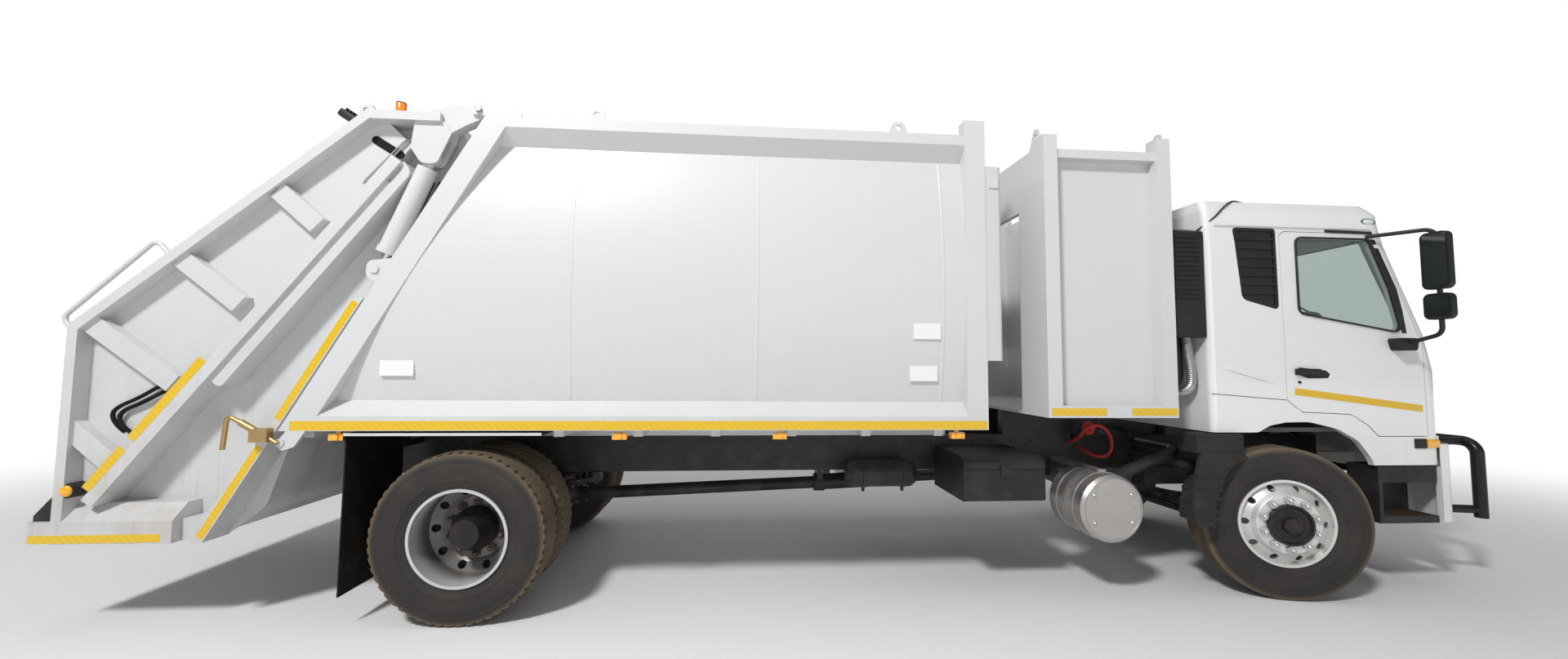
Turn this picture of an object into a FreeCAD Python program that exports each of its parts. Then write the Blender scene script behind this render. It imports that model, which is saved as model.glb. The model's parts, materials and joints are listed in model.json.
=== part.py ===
import FreeCAD, Part
import math
import os

# Rear loading garbage truck with a two axle chassis, a day cab and a tilting tailgate.
# Millimetres. Ahead is +X, the truck's left is +Y, up is +Z, and the ground is Z = 0.
# Every length below is set out from the rear axle. The pieces are shifted at the end,
# so that the origin lies on the ground under the middle of the whole truck.

# Overall reach
front_end = 7300.0
rear_end = -2380.0
half_width = 1225.0

# Gaps between pieces
run_gap = 0.3
swing_gap = 5.0
seat_gap = 0.3

# Chassis
wheelbase = 5610.0
rail_half_spread = 430.0
rail_top = 1050.0
rail_depth = 270.0
rail_flange = 80.0
rail_web = 10.0
rail_front = 6600.0
rail_rear = -950.0
cross_member_places = (-850.0, 1500.0, 3050.0, 4250.0)
cross_member_width = 90.0
cross_member_depth = 130.0

# Wheels and tyres
tyre_radius = 525.0
tyre_width = 280.0
tyre_tread_width = 220.0
bead_radius = 292.0
bead_width = 220.0
flange_radius = 300.0
rim_wall = 10.0
front_wheel_side = 1070.0
rear_outer_side = 1095.0
rear_inner_side = 765.0
hub_radius = 138.0
hub_bore = 45.0
hand_hole_count = 10
front_hand_hole_radius = 22.0
rear_hand_hole_radius = 26.0
hand_hole_circle = 246.0
disc_flat_radius = 198.0
disc_step_radius = 222.0
wheel_nut_count = 10
wheel_nut_circle = 167.5
wheel_nut_radius = 15.0

# Steering
kingpin_side = 860.0
kingpin_radius = 22.0
kingpin_boss_radius = 45.0
kingpin_boss_height = 110.0
fork_arm_thickness = 38.0
steer_at_rest = -16.0
steer_arm_length = 190.0
tie_rod_radius = 16.0

# Load body
body_front = 3360.0
body_floor_top = 1192.0
body_floor_thickness = 12.0
body_bottom = 1180.0
body_top = 3180.0
body_rail_height = 90.0
body_chamfer = 90.0
body_wall = 10.0
body_bulge = 85.0
rear_line_x = -1000.0
rear_line_z = 1280.0
rear_line_slope = 0.5608
rear_post_width = 165.0
front_post_width = 140.0
front_post_top = 3285.0
roof_rise = 30.0
bearer_width = 80.0
bearer_height = 80.0
floor_bar_pitch = 500.0

# Tailgate
lift_pin_x = 20.0
lift_pin_z = 3220.0
lift_pin_radius = 35.0
lift_ear_radius = 50.0
arm_side = 1150.0
arm_width = 80.0
cheek_thickness = 20.0
seal_gap = 12.0
tailgate_rear = -2250.0
tailgate_top = 3185.0
tailgate_bottom = 530.0
shoulder_x = -655.0
knee_z = 1805.0
side_flange = 55.0
rear_sheet_side = 1135.0
deep_sheet_side = 1045.0
sheet = 10.0
strip_top = 1990.0
strip_width = 60.0
guide_top_x = -490.0
guide_top_z = 2900.0
guide_foot_x = -2100.0
guide_foot_z = 785.0
guide_width = 70.0
guide_box_width = 150.0
guide_box_length = 1720.0
rib_width = 110.0
sill_top = 660.0
pan_wall = 12.0
lip_top = 930.0
step_bar_height = 120.0

# Lift cylinders
cylinder_top_x = -280.0
cylinder_top_z = 2910.0
cylinder_foot_x = -570.0
cylinder_foot_z = 2180.0
cylinder_radius = 60.0
rod_radius = 32.0
cylinder_eye_radius = 48.0
cylinder_eye_width = 60.0
cylinder_wall = 8.0
eye_pin_radius = 22.0

# Packer
track_bar_height = 40.0
track_bar_thickness = 20.0
shoe_width = 90.0
carriage_start = 160.0
carriage_length = 1150.0
carriage_thickness = 90.0
carriage_skin = 12.0
blade_length = 720.0
blade_thickness = 80.0
blade_rest_tilt = 10.0
blade_pin_radius = 30.0
blade_barrel_radius = 60.0

# Bin box between the body and the cab
bin_rear = body_front + 420.0
bin_front = bin_rear + 930.0
bin_bottom = 1260.0
bin_rail_height = 80.0
bin_wall_top = 3120.0
bin_post_top = 3215.0
bin_post = 100.0
bin_recess = 90.0
bin_wall = 10.0

# Cab
cab_rear = 5050.0
cab_front = 6875.0
cab_half_width = 1120.0
cab_wall = 40.0
cab_bottom = 1148.0
cab_floor_thickness = 30.0
cab_skirt_bottom = 910.0
cab_belt = 1800.0
cab_roof_seam = 2645.0
cab_top = 2880.0
cab_corner = 120.0
cab_crown = 60.0
glass_thickness = 8.0
glass_inset = 6.0
door_gap = 5.0
door_rear = 5630.0
door_front = 6725.0
door_bottom = 1120.0
door_top = 2605.0
door_hinge_x = 6718.0
door_hinge_side = 1115.0
door_pin_radius = 4.0
tunnel_half_width = 380.0
tunnel_top = 1450.0
tunnel_wall = 20.0

mirror_reach = 1470.0

# Guard tube in front
guard_tube_radius = 38.0
guard_side = 1022.0
guard_stay_side = 940.0
guard_top = 1060.0
guard_bottom = 500.0
bumper_front = 6990.0
bumper_rear = 6820.0
bumper_bottom = 500.0
bumper_top = 1060.0

origin_shift = -(front_end + rear_end) / 2.0

vec = FreeCAD.Vector
sides = {"right": -1.0, "left": 1.0}


# Shape helpers

def at_xz(y):
    return lambda a, b: vec(a, y, b)


def at_yz(x):
    return lambda a, b: vec(x, a, b)


def at_xy(z):
    return lambda a, b: vec(a, b, z)


def outline(points, place, closed=True):
    """Wire through points (a, b) or (a, b, radius), with each radius as a true arc."""
    count = len(points)
    stops = []
    for i, point in enumerate(points):
        here = vec(point[0], point[1], 0)
        radius = point[2] if len(point) > 2 else 0.0
        ends = not closed and i in (0, count - 1)
        if radius <= 0 or ends:
            stops.append((here,))
            continue
        back = vec(points[i - 1][0], points[i - 1][1], 0) - here
        ahead = vec(points[(i + 1) % count][0], points[(i + 1) % count][1], 0) - here
        half = back.getAngle(ahead) / 2.0
        reach = radius / math.tan(half)
        start = here + vec(back).normalize() * reach
        end = here + vec(ahead).normalize() * reach
        middle_way = (vec(back).normalize() + vec(ahead).normalize()).normalize()
        middle = here + middle_way * (radius / math.sin(half) - radius)
        stops.append((start, middle, end))
    edges = []
    spans = count if closed else count - 1
    for i, stop in enumerate(stops):
        if len(stop) == 3:
            edges.append(Part.Arc(*[place(p.x, p.y) for p in stop]).toShape())
        if i < spans:
            a = stop[-1]
            b = stops[(i + 1) % count][0]
            if (a - b).Length > 0.001:
                edges.append(Part.LineSegment(place(a.x, a.y), place(b.x, b.y)).toShape())
    return Part.Wire(edges)


def plate(points, place, push):
    return Part.Face(outline(points, place)).extrude(push)


def slab_y(points, y0, y1):
    """Outline in X and Z, from y0 to y1."""
    return plate(points, at_xz(y0), vec(0, y1 - y0, 0))


def slab_x(points, x0, x1):
    """Outline in Y and Z, from x0 to x1."""
    return plate(points, at_yz(x0), vec(x1 - x0, 0, 0))


def slab_z(points, z0, z1):
    """Outline in X and Y, from z0 to z1."""
    return plate(points, at_xy(z0), vec(0, 0, z1 - z0))


def box(x0, x1, y0, y1, z0, z1):
    low = vec(min(x0, x1), min(y0, y1), min(z0, z1))
    return Part.makeBox(abs(x1 - x0), abs(y1 - y0), abs(z1 - z0), low)


def rod(a, b, radius):
    line = b - a
    return Part.makeCylinder(radius, line.Length, a, line)


def rod_y(x, z, y0, y1, radius):
    return rod(vec(x, min(y0, y1), z), vec(x, max(y0, y1), z), radius)


def ribbon(points, wall):
    """Outline of a bent sheet: points (a, b, radius) on one face, the wall to their left."""
    count = len(points)
    other = []
    for i, point in enumerate(points):
        here = vec(point[0], point[1], 0)
        radius = point[2] if len(point) > 2 else 0.0
        into = None
        out = None
        if i > 0:
            into = (here - vec(points[i - 1][0], points[i - 1][1], 0)).normalize()
        if i < count - 1:
            out = (vec(points[i + 1][0], points[i + 1][1], 0) - here).normalize()
        into = into or out
        out = out or into
        left_in = vec(-into.y, into.x, 0)
        left_out = vec(-out.y, out.x, 0)
        bisector = (left_in + left_out).normalize()
        shift = bisector * (wall / bisector.dot(left_in))
        turn = into.x * out.y - into.y * out.x
        inner_radius = radius - wall if turn > 0 else radius + wall
        other.append((here.x + shift.x, here.y + shift.y, max(inner_radius, 0.0) if radius else 0.0))
    return list(points) + other[::-1]


def tube(points, radius, bend):
    """Round bar along points (x, y, z), bent with one radius at each corner."""
    stops = [vec(*p) for p in points]
    edges = []
    last = stops[0]
    for i in range(1, len(stops) - 1):
        here = stops[i]
        back = (stops[i - 1] - here).normalize()
        ahead = (stops[i + 1] - here).normalize()
        half = back.getAngle(ahead) / 2.0
        reach = bend / math.tan(half)
        start = here + back * reach
        end = here + ahead * reach
        middle = here + (back + ahead).normalize() * (bend / math.sin(half) - bend)
        edges.append(Part.LineSegment(last, start).toShape())
        edges.append(Part.Arc(start, middle, end).toShape())
        last = end
    edges.append(Part.LineSegment(last, stops[-1]).toShape())
    spine = Part.Wire(edges)
    ring = Part.Wire(Part.Circle(stops[0], stops[1] - stops[0], radius).toShape())
    return spine.makePipeShell([ring], True, False)


def fuse(shapes):
    first = shapes[0]
    if len(shapes) == 1:
        return first
    return first.fuse(shapes[1:]).removeSplitter()


def mirrored(shape):
    return shape.mirror(vec(0, 0, 0), vec(0, 1, 0))


def both_sides(right):
    return Part.makeCompound([right, mirrored(right)])


def on_side(right, side):
    return right if side == "right" else mirrored(right)


def spun(points, y_axis_x, y_axis_z):
    """Ring turned about a line along Y, from points (radius, y)."""
    wire = outline(points, lambda a, b: vec(y_axis_x, b, y_axis_z + a))
    return Part.Face(wire).revolve(vec(y_axis_x, 0, y_axis_z), vec(0, 1, 0), 360)


def rear_line(z):
    """Place along X of the body's slanted rear edge at height z."""
    return rear_line_x + (z - rear_line_z) * rear_line_slope


# Chassis

def chassis_frame():
    rail = slab_x(
        [
            (-rail_half_spread, rail_top),
            (-rail_half_spread + rail_flange, rail_top),
            (-rail_half_spread + rail_flange, rail_top - rail_web),
            (-rail_half_spread + rail_web, rail_top - rail_web),
            (-rail_half_spread + rail_web, rail_top - rail_depth + rail_web),
            (-rail_half_spread + rail_flange, rail_top - rail_depth + rail_web),
            (-rail_half_spread + rail_flange, rail_top - rail_depth),
            (-rail_half_spread, rail_top - rail_depth),
        ],
        rail_rear,
        rail_front,
    )
    pieces = [rail, mirrored(rail)]
    inner = rail_half_spread - rail_web
    middle = rail_top - rail_depth / 2.0
    for x in cross_member_places:
        low = middle - cross_member_depth / 2.0
        high = middle + cross_member_depth / 2.0
        half = cross_member_width / 2.0
        channel = slab_y(
            [
                (x - half, high),
                (x + half, high),
                (x + half, low),
                (x + half - rail_web, low),
                (x + half - rail_web, high - rail_web),
                (x - half + rail_web, high - rail_web),
                (x - half + rail_web, low),
                (x - half, low),
            ],
            -inner,
            inner,
        )
        pieces.append(channel)
    pieces.append(rod_y(rail_front - 60, middle, -inner, inner, 45))
    for side in (-1, 1):
        bearer_in = side * (rail_half_spread - bearer_width)
        pieces.append(box(bin_rear + 60, bin_front - 60, bearer_in, side * rail_half_spread, rail_top, bin_bottom))
    return fuse(pieces)


# Axles, springs and what drives them

spring_side = 430.0
spring_width = 80.0
front_spring_seat = 470.0
rear_spring_seat = 600.0
spring_stack = 90.0


def front_axle():
    half = 45.0
    beam = [
        (0, 365),
        (560, 365, 120),
        (720, 465, 60),
        (kingpin_side - 30, 480),
        (kingpin_side - 30, 570),
        (690, 570, 60),
        (580, front_spring_seat, 40),
        (0, front_spring_seat),
    ]
    right = slab_x([(-p[0],) + tuple(p[1:]) for p in beam], wheelbase - half, wheelbase + half)
    recess = slab_x([(-540, 395, 18), (-540, 440, 18), (0, 440), (0, 395)], wheelbase + half - 20, wheelbase + half)
    rear_recess = recess.translated(vec(-2 * half + 20, 0, 0))
    right = right.cut(recess).cut(rear_recess)
    low = tyre_radius - kingpin_boss_height / 2.0
    boss = Part.makeCylinder(kingpin_boss_radius, kingpin_boss_height, vec(wheelbase, -kingpin_side, low))
    bore = Part.makeCylinder(kingpin_radius + run_gap, kingpin_boss_height, vec(wheelbase, -kingpin_side, low))
    right = right.fuse(boss).cut(bore)
    return fuse([right, mirrored(right)])


def leaf_spring(x, seat, hanger_reach, camber):
    """One stack of leaves with a hanger at each end, on the right."""
    inner = -spring_side + spring_width / 2.0
    outer = -spring_side - spring_width / 2.0
    leaves = []
    for reach, low, high in ((hanger_reach, 0.6, 1.0), (hanger_reach * 0.72, 0.3, 0.6), (hanger_reach * 0.42, 0.0, 0.3)):
        rise = camber * (reach / hanger_reach) ** 2
        top = seat + spring_stack * high
        base = seat + spring_stack * low
        lower = Part.Arc(vec(x - reach, inner, base + rise), vec(x, inner, base), vec(x + reach, inner, base + rise))
        upper = Part.Arc(vec(x + reach, inner, top + rise), vec(x, inner, top), vec(x - reach, inner, top + rise))
        ends = [
            Part.LineSegment(vec(x + reach, inner, base + rise), vec(x + reach, inner, top + rise)).toShape(),
            Part.LineSegment(vec(x - reach, inner, top + rise), vec(x - reach, inner, base + rise)).toShape(),
        ]
        wire = Part.Wire([lower.toShape(), ends[0], upper.toShape(), ends[1]])
        leaves.append(Part.Face(wire).extrude(vec(0, outer - inner, 0)))
    rail_bottom = rail_top - rail_depth
    end_z = seat + camber + spring_stack * 0.8
    for end in (x - hanger_reach, x + hanger_reach):
        leaves.append(rod_y(end, end_z, outer, inner, 34))
        leaves.append(box(end - 30, end + 30, outer + 8, inner - 8, end_z, rail_bottom))
    clamp_low = seat
    clamp_high = seat + spring_stack + 18
    leaves.append(box(x - 75, x + 75, outer - 12, inner + 12, clamp_low, clamp_high))
    return fuse(leaves)


def leaf_springs():
    front = leaf_spring(wheelbase, front_spring_seat, 620, 110)
    rear = leaf_spring(0, rear_spring_seat, 640, 60)
    return Part.makeCompound([front, mirrored(front), rear, mirrored(rear)])


def rear_axle():
    inner_end = rear_inner_side - tyre_width / 2.0 - 60
    tube_part = rod_y(0, tyre_radius, -inner_end, inner_end, 68)
    spindle = rod_y(0, tyre_radius, -(rear_outer_side - 10), rear_outer_side - 10, hub_bore)
    ball = spun([(0, -165), (150, -165, 40), (215, -70, 80), (215, 70, 80), (150, 165, 40), (0, 165)], 0, tyre_radius)
    nose = Part.makeCone(150, 75, 330, vec(60, 0, tyre_radius), vec(1, 0, 0))
    pieces = [tube_part, spindle, ball, nose]
    for side in (-1, 1):
        pieces.append(
            box(-75, 75, side * (spring_side - 60), side * (spring_side + 60), tyre_radius, rear_spring_seat)
        )
    return fuse(pieces)


shaft_front_z = 700.0
shaft_bearing_x = 2400.0
shaft_bearing_z = 600.0
gearbox_rear = 4450.0


def prop_shaft():
    start = vec(390 + seat_gap, 0, tyre_radius)
    middle = vec(shaft_bearing_x, 0, shaft_bearing_z)
    end = vec(gearbox_rear - seat_gap, 0, shaft_front_z)
    first = rod(start + vec(60, 0, 0), middle, 50)
    second = rod(middle, end - vec(60, 0, 0), 45)
    flange = rod(start, start + vec(70, 0, 0), 62)
    flange_two = rod(end - vec(70, 0, 0), end, 60)
    joint = rod(middle - vec(45, 0, 0), middle + vec(45, 0, 0), 74)
    sleeve = rod(middle, vec(shaft_bearing_x + 420, 0, shaft_bearing_z + 20), 66)
    rail_bottom = rail_top - rail_depth
    hanger = slab_x(
        [(-110, rail_bottom), (110, rail_bottom), (60, shaft_bearing_z), (-60, shaft_bearing_z)],
        shaft_bearing_x - 25,
        shaft_bearing_x + 25,
    )
    yoke = box(shaft_bearing_x - 25, shaft_bearing_x + 25, -rail_half_spread, rail_half_spread, rail_bottom - 30, rail_bottom)
    return fuse([first, second, flange, flange_two, joint, sleeve, hanger, yoke])


def engine():
    block = slab_x(
        [(-250, 600, 40), (250, 600, 40), (330, 800), (330, 1300, 60), (200, 1400, 60), (-200, 1400, 60), (-330, 1300, 60), (-330, 800)],
        5125,
        6280,
    )
    bell = Part.makeCone(250, 200, 260, vec(5125, 0, 820), vec(-1, 0, 0))
    gearbox = slab_x(
        [(-170, 600, 40), (170, 600, 40), (190, 980, 40), (-190, 980, 40)], gearbox_rear, 4900
    )
    pieces = [block, bell, gearbox]
    for side in (-1, 1):
        pieces.append(box(5880, 6000, side * 300, side * (rail_half_spread - 15), rail_top, rail_top + 60))
    return fuse(pieces)


# Tanks and boxes on the rails

tank_x = 2520.0
tank_length = 520.0
tank_radius = 100.0
tank_side = 620.0
tank_z = 790.0


def air_tank():
    line = [(0, 0), (tank_radius - 25, 0, 0), (tank_radius, 35, 30), (tank_radius, tank_length - 35, 30)]
    line += [(tank_radius - 25, tank_length), (0, tank_length)]
    face = Part.Face(outline(line, lambda a, b: vec(tank_x + b, -tank_side, tank_z + a)))
    tank = face.revolve(vec(tank_x, -tank_side, tank_z), vec(1, 0, 0), 360)
    pieces = [tank]
    for x in (tank_x + 110, tank_x + tank_length - 110):
        strap = Part.makeCylinder(tank_radius + 5, 35, vec(x, -tank_side, tank_z), vec(1, 0, 0))
        arm = box(x, x + 35, -tank_side, -rail_half_spread, tank_z + 30, tank_z + 75)
        pieces += [strap, arm]
        pieces.append(rod(vec(x + 17, -tank_side, tank_z - tank_radius), vec(x + 17, -tank_side, tank_z - tank_radius - 35), 12))
    return fuse(pieces)


battery_x = 3270.0
battery_length = 590.0
battery_low = 660.0
battery_high = 970.0
battery_out = 1020.0


def battery_box():
    case = slab_x(
        [
            (-battery_out, battery_low, 25),
            (-battery_out, battery_high - 30, 30),
            (-battery_out + 60, battery_high, 40),
            (-rail_half_spread, battery_high),
            (-rail_half_spread, battery_low),
        ],
        battery_x,
        battery_x + battery_length,
    )
    seam = box(battery_x - 1, battery_x + battery_length + 1, -battery_out - 1, -battery_out + 6, battery_high - 95, battery_high - 85)
    latch = box(battery_x + battery_length / 2 - 30, battery_x + battery_length / 2 + 30, -battery_out - 12, -battery_out, battery_high - 130, battery_high - 60)
    return case.cut(seam).fuse(latch)


silencer_x = 4272.0
silencer_z = 631.0
silencer_radius = 230.0
silencer_out = 1150.0
silencer_length = 420.0


def silencer_case():
    line = [(0, 0), (silencer_radius - 20, 0), (silencer_radius, 20, 18), (silencer_radius, silencer_length - 20, 18)]
    line += [(silencer_radius - 20, silencer_length), (0, silencer_length)]
    return spun([(a, b - silencer_out) for a, b, *_ in line], silencer_x, silencer_z)


def silencer():
    top = silencer_z + silencer_radius
    strap = box(silencer_x - 30, silencer_x + 30, -silencer_out + 120, -rail_half_spread, top - 12, top + 18)
    return fuse([silencer_case(), strap])


exhaust_side = 900.0
exhaust_radius = 42.0


def exhaust_pipe():
    pipe = tube(
        [
            (silencer_x + 30, -exhaust_side, silencer_z + 120),
            (silencer_x + 690, -exhaust_side, silencer_z + 360),
            (silencer_x + 690, -rail_half_spread, silencer_z + 360),
        ],
        exhaust_radius,
        80,
    )
    room = rod_y(silencer_x, silencer_z, -silencer_out - 10, -silencer_out + silencer_length + 10, silencer_radius + seat_gap)
    return pipe.cut(room)


fuel_x = 2700.0
fuel_length = 1250.0


def fuel_tank():
    tank = slab_x(
        [(500, 520, 70), (1080, 520, 70), (1080, 960, 70), (500, 960, 70)], fuel_x, fuel_x + fuel_length
    )
    pieces = [tank]
    for x in (fuel_x + 220, fuel_x + fuel_length - 280):
        strap = slab_x([(490, 512, 78), (1088, 512, 78), (1088, 968, 78), (490, 968, 78)], x, x + 60)
        arm = box(x, x + 60, rail_half_spread, 500, 700, 900)
        pieces += [strap, arm]
    pieces.append(rod(vec(fuel_x + 160, 940, 950), vec(fuel_x + 160, 940, 1010), 45))
    return fuse(pieces)


# Mudguards

front_guard_reach = 625.0
mudguard_rear = -690.0
mudguard_front = 480.0
mudguard_inner = 600.0


def mudguards():
    centre = vec(wheelbase, 0, tyre_radius)
    pieces = []
    ring = []
    for radius in (front_guard_reach, front_guard_reach + 14):
        ring.append(Part.makeCylinder(radius, 300, vec(wheelbase, -1180, tyre_radius), vec(0, 1, 0)))
    band = ring[1].cut(ring[0])
    sector = slab_y(
        [(wheelbase, tyre_radius), (wheelbase - 900, tyre_radius - 30), (wheelbase - 900, 1200), (wheelbase - 480, 1200)],
        -1180,
        -880,
    )
    guard = band.common(sector)
    for step in range(6):
        angle = math.radians(178 - step * 8)
        spot = centre + vec(math.cos(angle), 0, math.sin(angle)) * (front_guard_reach + 7)
        guard = guard.fuse(rod(vec(spot.x, -1180, spot.z), vec(spot.x, -880, spot.z), 16))
    guard = guard.cut(ring[0])
    arm = box(wheelbase - front_guard_reach - 60, wheelbase - front_guard_reach - 12, -900, -rail_half_spread, 880, 930)
    guard = guard.fuse(arm).fuse(box(wheelbase - front_guard_reach - 60, wheelbase - 480, -980, -900, 880, 930))
    side_panel = slab_y(
        [
            (wheelbase - 760, 510, 20),
            (wheelbase - 520, 510),
            (wheelbase - 330, 1012),
            (wheelbase - 710, 1012, 20),
            (wheelbase - 768, 750, 60),
        ],
        -1176,
        -1150,
    )
    guard = guard.fuse(side_panel)
    for z in (556, 604, 690, 752, 846):
        guard = guard.fuse(box(wheelbase - 745, wheelbase - 560, -1181, -1170, z, z + 16))
    guard = guard.fuse(box(wheelbase - 730, wheelbase - 380, -1168, -1000, 1012, 1140))
    guard = guard.cut(ring[0].fuse(box(wheelbase - 600, wheelbase, -1200, -800, 300, tyre_radius)))
    pieces += [guard, mirrored(guard)]
    back = mudguard_rear
    top = slab_y(
        [(back, 1120), (back, 1165), (mudguard_front, 1165), (mudguard_front, 1150), (back + 12, 1150), (back + 12, 1120)],
        -1215,
        -mudguard_inner,
    )
    flap = slab_y([(back + 8, 1150), (back + 16, 1150), (back + 16, 190), (back + 8, 190)], -1205, -610)
    post = box(back + 16, back + 56, -640, -rail_half_spread, 1005, 1045)
    rear = fuse([top, flap, post, box(back + 16, back + 56, -640, -600, 1045, 1152)])
    pieces += [rear, mirrored(rear)]
    return Part.makeCompound(pieces)


# Lamps on the chassis and cab

marker_places = (-740.0, 950.0, 1970.0, 3160.0)


def marker_lamps():
    pieces = []
    for x in marker_places:
        lamp = box(x - 45, x + 45, -1200, -1150, 1120, 1160)
        lens = rod_y(x, 1140, -1215, -1200, 18)
        stalk = box(x - 12, x + 12, -1180, -1150, 1160, body_bottom)
        piece = fuse([lamp, lens, stalk])
        pieces += [piece, mirrored(piece)]
    return Part.makeCompound(pieces)


# Bumper, head lamps and guard tubes

def bumper():
    def bar(width, front, rear, z0, z1, corner):
        points = [
            (rear, -width),
            (front - 60, -width, corner),
            (front, -width + 240, 300),
            (front, width - 240, 300),
            (front - 60, width, corner),
            (rear, width),
        ]
        return slab_z(points, z0, z1)

    outer = bar(1120, bumper_front, bumper_rear, bumper_bottom, bumper_top, 90)
    inner = bar(1080, bumper_front - 40, 6600, bumper_bottom - 1, bumper_top - 20, 60)
    cab_plan = cab_wire(cab_skirt_bottom - 15, cab_rear, cab_front, cab_half_width, cab_corner, cab_crown, -12)
    shell = outer.cut(inner).cut(Part.Face(cab_plan).extrude(vec(0, 0, 400)))
    grille = box(bumper_front - 50, bumper_front + 1, -420, 420, 610, 760)
    shell = shell.cut(grille)
    slats = [box(bumper_front - 40, bumper_front - 10, -430, 430, z, z + 14) for z in (645, 685, 725)]
    pieces = [shell] + slats
    arms = []
    for side in (-1, 1):
        for low in (guard_top - 45, guard_bottom + 15):
            arms.append(box(bumper_front - 45, bumper_front, side * 890, side * 990, low, low + 90))
        arms.append(box(rail_front, bumper_front - 30, side * 360, side * rail_half_spread, 800, 900))
        lamp = box(bumper_front - 30, bumper_front + 12, side * 560, side * 840, 800, 940)
        arms.append(lamp)
    return fuse(pieces + arms)


step_rear = 6320.0
step_front = 6790.0
step_out = 1112.0
step_in = 900.0


def cab_steps():
    right = [
        box(step_rear, step_front, -step_out, -step_in, bumper_bottom - 5, 545),
        box(step_rear, step_rear + 30, -step_out, -step_in, 545, 900),
        box(step_rear, step_front, -step_in - 25, -step_in, 545, 900),
        box(step_rear, step_front, -step_out, -step_in, 785, 800),
        box(step_rear, step_front, -step_out, -step_out + 22, 800, 900),
        box(6500, 6540, -step_in, -rail_half_spread, 810, 850),
    ]
    return both_sides(fuse(right))


def bull_bar():
    x = front_end - guard_tube_radius
    face = bumper_front + seat_gap
    hoop = tube(
        [
            (x, -guard_side, guard_bottom),
            (x, -guard_side, guard_top),
            (x, guard_side, guard_top),
            (x, guard_side, guard_bottom),
        ],
        guard_tube_radius,
        90,
    )
    pieces = [hoop]
    low = guard_bottom + 60
    for side in (-1, 1):
        near = side * guard_stay_side
        pieces.append(rod(vec(face - 60, near, guard_top), vec(x, near, guard_top), guard_tube_radius - 8))
        pieces.append(rod(vec(face - 60, near, low), vec(x, side * guard_side, low), guard_tube_radius - 8))
    return fuse(pieces).cut(box(6000, face, -1300, 1300, 300, 1300))


# Cab

def cab_wire(z, rear, front, width, corner, crown, inset):
    """Closed plan of the cab at one height, with round front corners and a crowned front."""
    w = width - inset
    f = front - inset
    b = rear + inset
    r = max(corner - inset, 8.0)
    n = 40.0
    k = r * (1 - math.sqrt(0.5))
    points = [vec(b, -w + n, z), vec(b + n, -w, z), vec(f - r, -w, z), vec(f, -w + r, z)]
    points += [vec(f, w - r, z), vec(f - r, w, z), vec(b + n, w, z), vec(b, w - n, z)]
    m = n * (1 - math.sqrt(0.5))
    edges = [
        Part.Arc(points[0], vec(b + m, -w + m, z), points[1]).toShape(),
        Part.LineSegment(points[1], points[2]).toShape(),
        Part.Arc(points[2], vec(f - k, -w + k, z), points[3]).toShape(),
        Part.Arc(points[3], vec(f + crown, 0, z), points[4]).toShape(),
        Part.Arc(points[4], vec(f - k, w - k, z), points[5]).toShape(),
        Part.LineSegment(points[5], points[6]).toShape(),
        Part.Arc(points[6], vec(b + m, w - m, z), points[7]).toShape(),
        Part.LineSegment(points[7], points[0]).toShape(),
    ]
    return Part.Wire(edges)


cab_levels = [
    (cab_skirt_bottom, 0, 0, 0),
    (1600.0, 0, 0, 0),
    (1860.0, 0, 60, 0),
    (2520.0, 0, 335, 4),
    (cab_roof_seam, 10, 362, 12),
    (2760.0, 20, 350, 35),
    (2840.0, 50, 400, 90),
    (cab_top, 160, 520, 230),
]


def cab_solid(inset):
    """The cab's whole outer form, drawn in by inset all round and at the top."""
    wires = []
    for i, (z, rear_in, front_in, side_in) in enumerate(cab_levels):
        height = z
        if i == 0:
            height = z - 10 if inset else z
        if i > 4:
            height = z - inset
        wires.append(
            cab_wire(height, cab_rear + rear_in, cab_front - front_in, cab_half_width - side_in, cab_corner, cab_crown, inset)
        )
    return Part.makeLoft(wires, True, True)


def door_outline(gap):
    """Right-hand door in X and Z; a positive gap draws the edges out."""
    g = gap
    ahead = gap * 1.7
    return [
        (door_rear - g, door_top + g, 60),
        (door_rear - g, 1378 - g, 30),
        (5740, 1294 - g, 50),
        (6125, 1278 - g, 90),
        (6255 - g, 1200 - g, 90),
        (6335 - g, door_bottom - g, 40),
        (door_front + ahead, door_bottom - g, 5),
        (door_front + ahead, cab_belt - 20, 60),
        (6400 + ahead, door_top + g, 60),
    ]


def window_outline(gap):
    g = gap
    return [
        (5750 - g, 2565 + g, 50),
        (5750 - g, 2005 - g, 50),
        (6570 + g, 1870 - g, 50),
        (6490 + g, 2200, 200),
        (6345 + g, 2565 + g, 60),
    ]


def arch_cut(side_low, side_high):
    low = cab_skirt_bottom - 60
    points = [
        (cab_rear - 100, low),
        (cab_rear - 100, cab_bottom),
        (wheelbase - 215, cab_bottom, 60),
        (wheelbase - 125, 1196, 100),
        (wheelbase, 1219, 200),
        (wheelbase + 180, 1222, 300),
        (wheelbase + 400, 1172, 200),
        (wheelbase + 560, 1085, 150),
        (wheelbase + 660, 955, 150),
        (wheelbase + 694, low),
    ]
    return slab_y(points, side_low, side_high)


def cab_shell():
    return cab_solid(0).cut(cab_solid(cab_wall)).cut(arch_cut(-1200, 1200))


def side_slab(points, side=None):
    """Cutter through one cab side, or through both when no side is named."""
    if side is None:
        return fuse([slab_y(points, -1300, -900), slab_y(points, 900, 1300)])
    sign = sides[side]
    return slab_y(points, sign * 1300, sign * 900)


windscreen_low = 1830.0
windscreen_high = 2600.0
windscreen_side = 960.0


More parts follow.
